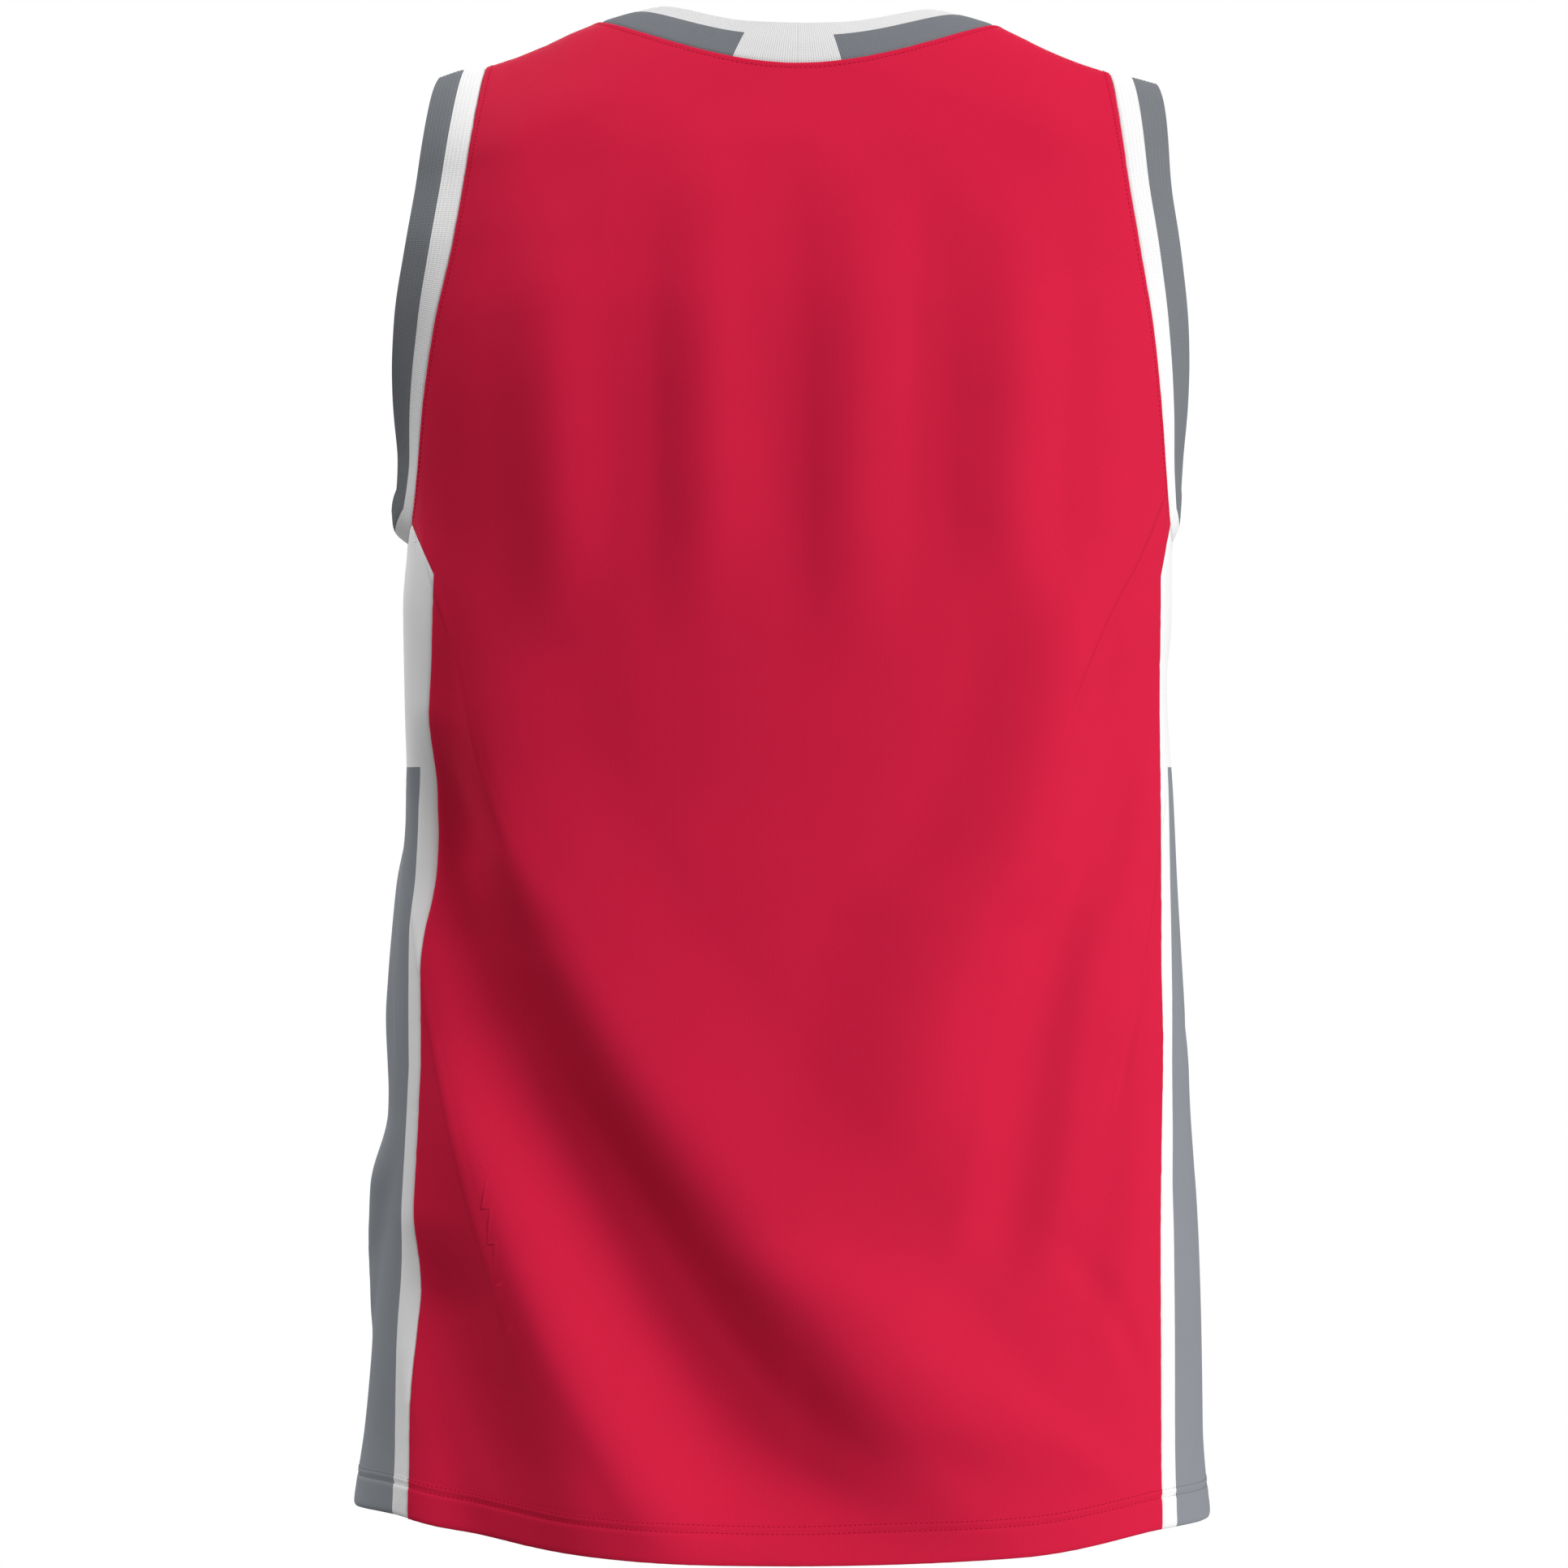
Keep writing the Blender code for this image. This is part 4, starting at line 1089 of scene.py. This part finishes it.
def nose(outer, inner):
    """Rows that round a wall's edge off from its outer to its inner face."""
    middle = (outer[-1] + inner[-1]) / 2
    half = (outer[-1] - inner[-1]) / 2
    ahead = square_to(outer[-1] - outer[-2], unit(half))
    radius = np.linalg.norm(half, axis=-1, keepdims=True)
    angles = np.linspace(0, math.pi, NOSE_ROWS + 2)[1:-1]
    return np.array([middle + half * math.cos(a) + ahead * radius * math.sin(a) for a in angles])


def wall_piece(name, outer, inner, closed, materials, tones):
    """A cloth wall with a rounded last row, as one closed mesh. The tones are a face each."""
    rows, columns = outer.shape[:2]
    rounding = nose(outer, inner)
    grid = np.concatenate([outer, rounding, inner[::-1]])
    flat = cloth_places(outer, closed)
    cloth = np.concatenate([flat, np.repeat(flat[-1:], NOSE_ROWS, axis=0), flat[::-1]])
    index = np.arange(grid.shape[0] * columns).reshape(-1, columns)
    if closed:
        index = np.concatenate([index, index[:, :1]], axis=1)
    place = np.arange(cloth.shape[0] * cloth.shape[1]).reshape(cloth.shape[:2])
    around = np.concatenate([index, index[:1]])
    place_around = np.concatenate([place, place[:1]])
    nose_tones = np.repeat(tones[-1:], NOSE_ROWS + 1, axis=0)
    face_tones = np.concatenate([tones, nose_tones, tones[::-1], tones[:1]]).reshape(-1).tolist()
    faces = quads(around).tolist()
    places = [quads(place_around)]
    if not closed:
        for column, beside in ((0, 0), (-1, -1)):
            edges = (index[:rows, column], index[::-1, column][:rows])
            spots = (place[:rows, column], place[::-1, column][:rows])
            cells = quads(np.stack(edges, axis=1))
            faces += cells.tolist()
            places.append(quads(np.stack(spots, axis=1)))
            face_tones += tones[:, beside].tolist()
            last = slice(rows - 1, rows + NOSE_ROWS + 1)
            faces.append(index[last, column].tolist())
            places.append(place[last, column])
            face_tones.append(int(tones[-1, beside]))
    vertices, spots = grid.reshape(-1, 3), cloth.reshape(-1, 2)
    return build_mesh(name, vertices, faces, face_tones, places, spots, materials)


# ---------------------------------------------------------------- panels


def tucked(sheet, column, beside):
    """A side panel's border carried on under the red cloth's edge."""
    border, inside = sheet.form[:, column], sheet.form[:, beside]
    normals = sheet.form_normals[:, column]
    return border - border_steps(border, inside, normals) * TUCK - normals * TUCK_DEPTH


def add_creases(piece, sheet, columns):
    """Store each point's nearest thin crease, for the material to draw."""
    nearest, strength = crease_field(sheet.turn, sheet.height)
    extra = (columns - nearest.shape[1]) // 2
    for name, field in (("crease_away", nearest), ("crease_height", strength)):
        field = np.pad(field, ((0, 0), (extra, extra)), mode="edge")
        around = np.concatenate([field, np.repeat(field[-1:], NOSE_ROWS, axis=0), field[::-1]])
        layer = piece.data.attributes.new(name, "FLOAT", "POINT")
        layer.data.foreach_set("value", around.reshape(-1).astype(np.float32))


def body_piece(name, sheet, materials, tones, tuck_sides):
    """A panel's wall, with its folded hem and with its sides tucked under the red if asked."""
    points, normals = sheet.points, sheet.normals
    distance = border_field(points, points[-1])[0]
    in_hem = smooth_step((HEM_DEPTH - distance) / MM)
    depth = (CLOTH_WALL + (HEM_WALL - CLOTH_WALL) * in_hem)[..., None]
    outer, inner = points, points - normals * depth
    if tuck_sides:
        left, right = tucked(sheet, 0, 1), tucked(sheet, -1, -2)
        outer = np.concatenate([left[:, None], points, right[:, None]], axis=1)
        low_left = left - normals[:, 0] * CLOTH_WALL
        low_right = right - normals[:, -1] * CLOTH_WALL
        inner = np.concatenate([low_left[:, None], inner, low_right[:, None]], axis=1)
        tones = np.concatenate([tones[:, :1], tones, tones[:, -1:]], axis=1)
    piece = wall_piece(name, outer, inner, False, materials, tones)
    add_creases(piece, sheet, outer.shape[1])
    return piece


# ---------------------------------------------------------------- bands


def loop_lengths(points):
    """How far along a closed loop each point is, and the loop's length."""
    steps = np.linalg.norm(np.roll(points, -1, axis=0) - points, axis=1)
    return np.cumsum(steps) - steps, steps.sum()


def carry_round(values, guides, points):
    """Values at the guides of a closed loop, carried over to all its points and evened out."""
    guide_at, _ = loop_lengths(guides)
    at, total = loop_lengths(points)
    nearest = np.argmin(np.linalg.norm(points[None] - guides[:, None], axis=2), axis=1)
    guide_at = at[nearest]
    flat = values.reshape(len(values), -1)
    carried = np.stack([np.interp(at, guide_at, column, period=total) for column in flat.T], axis=1)
    apart = np.abs(at[:, None] - at[None, :])
    apart = np.minimum(apart, total - apart)
    weights = np.exp(-0.5 * (apart / BAND_EVENING) ** 2) * (np.gradient(at))[None, :]
    carried = weights @ carried / weights.sum(axis=1, keepdims=True)
    return carried.reshape(len(points), *values.shape[1:])


def band_face(loop, guide_loop, leans, rows, inner_share, lean_share=1.0):
    """A band's outer face from under the panels' edge to its free edge, with its normals'
    rough direction, and how far each row is from the seam and each column along it."""
    points, normals, ways_out = guide_loop
    along, total = loop_lengths(points)
    step = mitre(np.roll(ways_out, 1, axis=0), ways_out)
    outward = unit(step)
    faces = square_to(normals, outward)
    share = along / total
    degree = math.pi / 180 * lean_share
    inner_lean = column_curve(leans, "inner", key="share", scale=degree, key_scale=1)(share)
    outer_lean = column_curve(leans, "outer", key="share", scale=degree, key_scale=1)(share)
    width = column_curve(leans, "width", key="share", key_scale=1)(share)[:, None] - BAND_WALL / 2
    inner_rows, outer_rows = rows
    seam_side = np.linspace(0, inner_share, inner_rows + 1)
    free_side = np.linspace(inner_share, 1, outer_rows + 1)[1:]
    places = np.concatenate([seam_side, free_side])
    moved = [np.zeros(points.shape)]
    for near, far in zip(places[:-1], places[1:]):
        blend = smooth_step(((near + far) / 2 - inner_share / 2) / (1 - inner_share))
        lean = (inner_lean + (outer_lean - inner_lean) * blend)[:, None]
        direction = outward * np.cos(lean) + faces * np.sin(lean)
        moved.append(moved[-1] + direction * (far - near) * width)
    under = -outward * TUCK - faces * TUCK_DEPTH
    between = -outward * TUCK / 2 - faces * (TUCK_DEPTH + SEAM_DIP) / 2
    moved = np.stack([under, between] + moved, axis=1)
    seam = loop[0]
    grid = np.swapaxes(seam[:, None] + carry_round(moved, points, seam), 0, 1)
    distance = np.concatenate([[-TUCK, -TUCK / 2], places * np.mean(width)])[:, None]
    return grid, loop[1], distance, loop_lengths(seam)[0][None, :]


def loop_normals(grid, faces):
    """Outward normals of a closed band."""
    across = np.roll(grid, -1, axis=1) - np.roll(grid, 1, axis=1)
    normal = unit(np.cross(across, np.gradient(grid, axis=0)))
    return normal if np.sum(normal * faces) > 0 else -normal


def band_piece(name, band, rows, ribs, phase, materials, tones):
    """A rib band's wall, dipping under the panels' edge and rounded at its free edge."""
    grid, faces, distance, along = band
    normals = loop_normals(grid, faces)
    away = np.clip(distance, 0, None)
    relief = -SEAM_DIP * np.exp(-away / SEAM_RISE) * (distance >= 0)
    relief = relief + puckered(BAND_PUCKER, away, along, phase)
    swell = 2 * np.sin(along / BAND_SLACK_SWELL)
    relief = relief + BAND_SLACK * np.sin(along / BAND_SLACK_WAVE + phase + swell)
    if ribs:
        row = np.arange(len(grid))[:, None] - TUCK_ROWS
        relief = relief + RIB_RELIEF * np.cos(2 * math.pi * row / RIB_ROWS) * (row > 0)
    outer = grid + normals * relief[..., None]
    inner = grid - normals * BAND_WALL
    return wall_piece(name, outer, inner, True, materials, tones)


# ---------------------------------------------------------------- stitches


def along_hem(sheet, distance):
    """The places at a distance up each column from the hem, and the normals there."""
    points, normals = sheet.points[::-1], sheet.normals[::-1]
    places, outwards = [], []
    for column in range(points.shape[1]):
        up = lengths_along(points[:, column])
        for values, kept in ((points, places), (normals, outwards)):
            kept.append(values_along(distance, up, values[:, column]))
    return np.array(places), np.array(outwards)


def hem_path(sheets, distance):
    """One row of hem stitches, right round the body, with the thread's tone at each place."""
    order = (
        ("back_panel", 1),
        ("side_panel_left", 1),
        ("front_panel", -1),
        ("side_panel_right", -1),
    )
    runs = []
    for name, direction in order:
        places, outwards = along_hem(sheets[name], distance)
        tones = np.zeros(len(places))
        if name.startswith("side"):
            tones[:] = 1
            tones[MARGIN_COLUMNS : MARGIN_COLUMNS + STRIPE_COLUMNS + 1] = 2
        runs.append((places[::direction], outwards[::direction], tones))
    return [np.concatenate(parts) for parts in zip(*runs)]


def seam_path(loop, tree, tones):
    """A row of stitches beside an opening's seam, set on the panels' surface."""
    points, normals, ways_out = loop
    step = mitre(np.roll(ways_out, 1, axis=0), ways_out)
    beside = points - step * STITCH_INSET
    places = np.array([tree.find_nearest(place)[0] for place in beside])
    return [np.concatenate([part, part[:1]]) for part in (places, normals, tones)]


def stitch_piece(name, paths, materials):
    """Rows of short stitches as one piece: a thread that comes up, lies flat and goes down."""
    vertices, faces, tones = [], [], []
    start = 0
    for places, normals, path_tones in paths:
        along = lengths_along(places)
        count = int(along[-1] / (STITCH_LENGTH + STITCH_SPACE))
        pitch = along[-1] / count
        first = (np.arange(count) + 0.5) * pitch - STITCH_LENGTH / 2
        at = first[:, None] + np.linspace(0, STITCH_LENGTH, len(THREAD_RISES))[None, :]
        middle = values_along(at, along, places)
        out = unit(values_along(at, along, normals))
        ahead = unit(np.gradient(middle, axis=1))
        beside = unit(np.cross(ahead, out))
        middle = middle + out * np.array(THREAD_RISES)[None, :, None]
        angles = 2 * math.pi * np.arange(THREAD_SIDES) / THREAD_SIDES
        up, aside = np.cos(angles)[:, None], np.sin(angles)[:, None]
        ring = out[:, :, None] * up + beside[:, :, None] * aside
        ring = middle[:, :, None] + ring * np.array(THREAD_RADII)[None, :, None, None]
        vertices.append(ring.reshape(-1, 3))
        index = start + np.arange(ring[..., 0].size).reshape(ring.shape[:3])
        start += index.size
        tone = np.interp(at[:, 0], along, path_tones).round().astype(int)
        for stitch, one_tone in zip(index, tone):
            closed = np.concatenate([stitch, stitch[:, :1]], axis=1)
            cells = quads(closed).tolist() + [stitch[0].tolist(), stitch[-1].tolist()]
            faces += cells
            tones += [int(one_tone)] * len(cells)
    vertices = np.concatenate(vertices)
    corners = [np.array(face) for face in faces]
    return build_mesh(name, vertices, faces, tones, corners, vertices[:, [0, 2]], materials)


# ---------------------------------------------------------------- materials


def add_node(tree, kind, inputs, **settings):
    """Add a node, set its settings, and link or set its inputs."""
    node = tree.nodes.new(kind)
    for name, value in settings.items():
        setattr(node, name, value)
    for key, value in inputs.items():
        if isinstance(value, bpy.types.NodeSocket):
            tree.links.new(value, node.inputs[key])
        else:
            node.inputs[key].default_value = value
    return node


def calculate(tree, operation, *values):
    return add_node(tree, "ShaderNodeMath", dict(enumerate(values)), operation=operation).outputs[0]


def wave(tree, turns):
    """A wave from 0 to 1 that repeats with each whole turn."""
    angle = calculate(tree, "MULTIPLY", turns, 2 * math.pi)
    return calculate(tree, "MULTIPLY_ADD", calculate(tree, "COSINE", angle), 0.5, 0.5)


def knit_height(tree, across, up, knit):
    """The relief of a knit, from 0 to 1: wales with a row of loops up each."""
    wales = calculate(tree, "DIVIDE", across, knit.wale)
    slant = calculate(tree, "MULTIPLY", calculate(tree, "PINGPONG", wales, 0.5), knit.slant)
    courses = calculate(tree, "ADD", calculate(tree, "DIVIDE", up, knit.course), slant)
    loops = calculate(tree, "MULTIPLY_ADD", wave(tree, courses), 0.5, 0.5)
    return calculate(tree, "MULTIPLY", wave(tree, wales), loops)


def noise(tree, place, size, detail=2.0):
    inputs = {"Vector": place, "Scale": 1 / size, "Detail": detail}
    return add_node(tree, "ShaderNodeTexNoise", inputs).outputs["Fac"]


def slope_between(tree, value, low, high):
    """A smooth rise from 0 at the low value to 1 at the high one."""
    inputs = {"Value": value, "From Min": low, "From Max": high}
    node = add_node(tree, "ShaderNodeMapRange", inputs, interpolation_type="SMOOTHSTEP")
    return node.outputs["Result"]


def crease_relief(tree):
    """How far the nearest thin crease lifts or sinks the cloth, with one steep flank."""
    away = add_node(tree, "ShaderNodeAttribute", {}, attribute_name="crease_away").outputs["Fac"]
    tall = add_node(tree, "ShaderNodeAttribute", {}, attribute_name="crease_height").outputs["Fac"]
    steep = slope_between(tree, away, CREASE_STEEP, 0.0)
    gentle = slope_between(tree, away, -CREASE_GENTLE, 0.0)
    return calculate(tree, "MULTIPLY", calculate(tree, "MULTIPLY", steep, gentle), tall)


def cloth_material(name, cloth):
    """Knit cloth: a fine relief of loops with painted shade in their gaps, a little fuzz, and a faint
    unevenness of the dye.
    """
    knit, mottle = cloth.knit, cloth.mottle
    material = bpy.data.materials.new(name)
    material.use_nodes = True
    material.diffuse_color = (*cloth.colour, 1)
    tree = material.node_tree
    shader = tree.nodes["Principled BSDF"]
    flat = add_node(tree, "ShaderNodeUVMap", {}, uv_map="cloth").outputs["UV"]
    parts = add_node(tree, "ShaderNodeSeparateXYZ", {"Vector": flat})
    body = add_node(tree, "ShaderNodeTexCoord", {}).outputs["Object"]

    broad = noise(tree, body, DYE_PATCH)
    fine = noise(tree, body, DYE_SPECK)
    shade = calculate(tree, "ADD", calculate(tree, "MULTIPLY", broad, 1.2), fine)
    shade = calculate(tree, "MULTIPLY_ADD", shade, mottle, 1 - 1.1 * mottle)
    height = knit_height(tree, parts.outputs["X"], parts.outputs["Y"], knit)
    # Painted shade: the colour darkens in the gaps between the loops, most on the ribs
    loops = calculate(tree, "MULTIPLY_ADD", height, knit.shade, 1 - knit.shade / 2)
    shade = calculate(tree, "MULTIPLY", shade, loops)
    inputs = {0: cloth.colour, "Scale": shade}
    tint = add_node(tree, "ShaderNodeVectorMath", inputs, operation="SCALE")
    tree.links.new(tint.outputs["Vector"], shader.inputs["Base Color"])

    gloss = calculate(tree, "MULTIPLY_ADD", fine, 0.16, cloth.roughness - 0.08)
    tree.links.new(gloss, shader.inputs["Roughness"])
    fuzz = noise(tree, body, FUZZ, 1.0)
    relief = calculate(tree, "MULTIPLY_ADD", fuzz, 0.35, height)
    bump = add_node(tree, "ShaderNodeBump", {"Height": relief, "Distance": knit.relief})
    if cloth.creased:
        creases = {"Height": crease_relief(tree), "Distance": MM}
        folded = add_node(tree, "ShaderNodeBump", creases)
        tree.links.new(folded.outputs["Normal"], bump.inputs["Normal"])
    tree.links.new(bump.outputs["Normal"], shader.inputs["Normal"])
    settings = (
        ("Metallic", 0.0),
        ("Specular IOR Level", SPECULAR),
        ("Sheen Weight", cloth.sheen),
        ("Sheen Roughness", SHEEN_ROUGHNESS),
    )
    for socket, value in settings:
        shader.inputs[socket].default_value = value
    return material


# ---------------------------------------------------------------- the jersey


def side_tones():
    """Grey in the stripe from its top to the hem, and white beside it."""
    tones = np.zeros((len(BODY_ROWS) - 1, SIDE_COLUMNS), dtype=int)
    stripe_row = int(np.argmin(np.abs(BODY_ROWS - STRIPE_TOP)))
    tones[stripe_row:, MARGIN_COLUMNS : MARGIN_COLUMNS + STRIPE_COLUMNS] = 1
    return tones


def band_tones(rows, columns):
    """The tone of each face of a band: one beside the seam and the other at the free edge."""
    inner_rows, outer_rows = rows
    tones = np.zeros((TUCK_ROWS + inner_rows + outer_rows, columns), dtype=int)
    tones[TUCK_ROWS + inner_rows :] = 1
    return tones


def dress(piece, node, cut):
    """Put a cloth piece in its node's place."""
    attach(piece, "root")
    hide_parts(node)


def add_stitches(name, paths, threads):
    piece = stitch_piece(name, paths, threads)
    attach(piece, "root")


def surface_tree(sheets):
    """The panels' outer faces as one surface to set stitches on."""
    faces, vertices, start = [], [], 0
    for sheet in sheets.values():
        rows, columns = sheet.points.shape[:2]
        faces += quads(start + np.arange(rows * columns).reshape(rows, columns)).tolist()
        vertices += sheet.points.reshape(-1, 3).tolist()
        start += rows * columns
    return BVHTree.FromPolygons(vertices, faces)


def build_panels(sheets, cloths):
    for name, cut in (("back", BACK_CUT), ("front", FRONT_CUT)):
        sheet = sheets[name + "_panel"]
        rows, columns = sheet.points.shape[:2]
        tones = np.zeros((rows - 1, columns - 1), dtype=int)
        piece = body_piece(name + "_cloth", sheet, [cloths["red_knit"]], tones, False)
        dress(piece, name + "_panel", cut)
    side_knits = [cloths["side_white_knit"], cloths["side_grey_knit"]]
    for side in (1, -1):
        name = side_name(side)
        node = "side_panel_" + name
        piece = body_piece("side_cloth_" + name, sheets[node], side_knits, side_tones(), True)
        dress(piece, node, SIDE_CUT)


def build_neckband(sheets, loop, cloths):
    """The neckband, with its white block across the centre of the back."""
    rows = BAND_ROWS["neck"]
    band = band_face(loop, neck_loop(sheets, True), NECK_LEANS, rows, NECKBAND_INNER_SHARE)
    points = loop[0]
    tones = band_tones(rows, len(points))
    across = np.abs(points[:, 0] - NECK_BLOCK_SHIFT)
    in_block = (across < NECK_BLOCK_WIDTH / 2 + 0.1 * MM) & (points[:, 1] > 0)
    tones[:, in_block & np.roll(in_block, -1)] = 1
    ribs = [cloths["neck_grey_rib"], cloths["neck_white_rib_painted_shade"]]
    piece = band_piece("neck_rib", band, rows, False, 0.7, ribs, tones)
    dress(piece, "neckband", NECKBAND_CUT)


def build_armband(sheets, side, tree, cloths, threads):
    """An armhole band and the row of stitches beside it, white where it crosses the side."""
    name = side_name(side)
    loop, guides = arm_loop(sheets, side), arm_loop(sheets, side, True)
    rows = BAND_ROWS["arm"]
    band = band_face(loop, guides, ARM_LEANS, rows, ARMBAND_INNER_SHARE, ARM_LEAN_SHARES[side])
    tones = band_tones(rows, len(loop[0]))
    ribs = [cloths["arm_white_rib_painted_light"], cloths["arm_grey_rib"]]
    piece = band_piece("arm_rib_" + name, band, rows, True, 1.9 * side, ribs, tones)
    dress(piece, "armband_" + name, ARMBAND_CUT)
    thread_tones = np.zeros(len(loop[0]))
    thread_tones[YOKE_ROWS : YOKE_ROWS + SIDE_COLUMNS] = 1
    add_stitches("arm_stitches_" + name, [seam_path(loop, tree, thread_tones)], threads)


def build_jersey():
    cloths = {name: cloth_material(name, cloth) for name, cloth in CLOTHS.items()}
    threads = [cloths["red_thread_painted_shade"], cloths["white_thread_painted_shade"], cloths["grey_thread_painted_shade"]]
    sheets = make_sheets()
    for name, sheet in sheets.items():
        finish = finish_side if name.startswith("side") else finish_panel
        finish(sheet)
    tree = surface_tree(sheets)
    neck = neck_loop(sheets)
    add_stitches("neck_stitches", [seam_path(neck, tree, np.zeros(len(neck[0])))], threads)
    hem_rows = [hem_path(sheets, distance) for distance in HEM_STITCH_ROWS]
    add_stitches("hem_stitches", hem_rows, threads)
    build_panels(sheets, cloths)
    build_neckband(sheets, neck, cloths)
    for side in (1, -1):
        build_armband(sheets, side, tree, cloths, threads)


# ---------------------------------------------------------------- studio


def build_studio():
    """A pale floor below the jersey, the soft lamps, a white world and the camera."""
    scene = bpy.context.scene
    scene.view_settings.view_transform = "Standard"
    scene.view_settings.look = "None"

    floor_mesh = bpy.data.meshes.new("floor")
    work = bmesh.new()
    bmesh.ops.create_circle(work, cap_ends=True, radius=FLOOR_RADIUS, segments=96)
    work.to_mesh(floor_mesh)
    work.free()
    floor = bpy.data.objects.new("floor", floor_mesh)
    floor.location = (0, 0, FLOOR_HEIGHT)
    floor.visible_diffuse = False  # the floor throws no light up on the cloth
    bpy.context.collection.objects.link(floor)
    paint = bpy.data.materials.new("floor_paint")
    paint.use_nodes = True
    shader = paint.node_tree.nodes["Principled BSDF"]
    shader.inputs["Base Color"].default_value = FLOOR_COLOUR
    shader.inputs["Roughness"].default_value = FLOOR_ROUGHNESS
    floor_mesh.materials.append(paint)

    world = bpy.data.worlds.new("studio")
    scene.world = world
    world.use_nodes = True
    tree = world.node_tree
    tree.nodes.clear()
    white = (1, 1, 1, 1)
    seen = add_node(tree, "ShaderNodeBackground", {"Color": white, "Strength": 1.0})
    lit = add_node(tree, "ShaderNodeBackground", {"Color": white, "Strength": AMBIENT})
    ray = add_node(tree, "ShaderNodeLightPath", {}).outputs["Is Camera Ray"]
    inputs = {0: ray, 1: lit.outputs[0], 2: seen.outputs[0]}
    mixed = add_node(tree, "ShaderNodeMixShader", inputs)
    add_node(tree, "ShaderNodeOutputWorld", {"Surface": mixed.outputs[0]})

    for name, direction, strength, spread in LAMPS:
        lamp = bpy.data.lights.new(name, "SUN")
        lamp.energy = strength
        lamp.angle = math.radians(spread)
        holder = bpy.data.objects.new(name, lamp)
        holder.rotation_euler = Vector(direction).to_track_quat("Z", "Y").to_euler()
        bpy.context.collection.objects.link(holder)

    view = bpy.data.cameras.new("camera")
    view.sensor_width = SENSOR_WIDTH
    view.lens = SENSOR_WIDTH * CAMERA_DISTANCE / (PHOTO_WIDTH * PIXEL_SIZE)
    camera = bpy.data.objects.new("camera", view)
    camera.location = (CAMERA_ACROSS, CAMERA_DISTANCE, CAMERA_HEIGHT)
    camera.rotation_euler = (math.pi / 2, 0, math.pi)
    bpy.context.collection.objects.link(camera)
    scene.camera = camera


def main():
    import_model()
    build_jersey()
    build_studio()
    bpy.context.view_layer.update()


main()
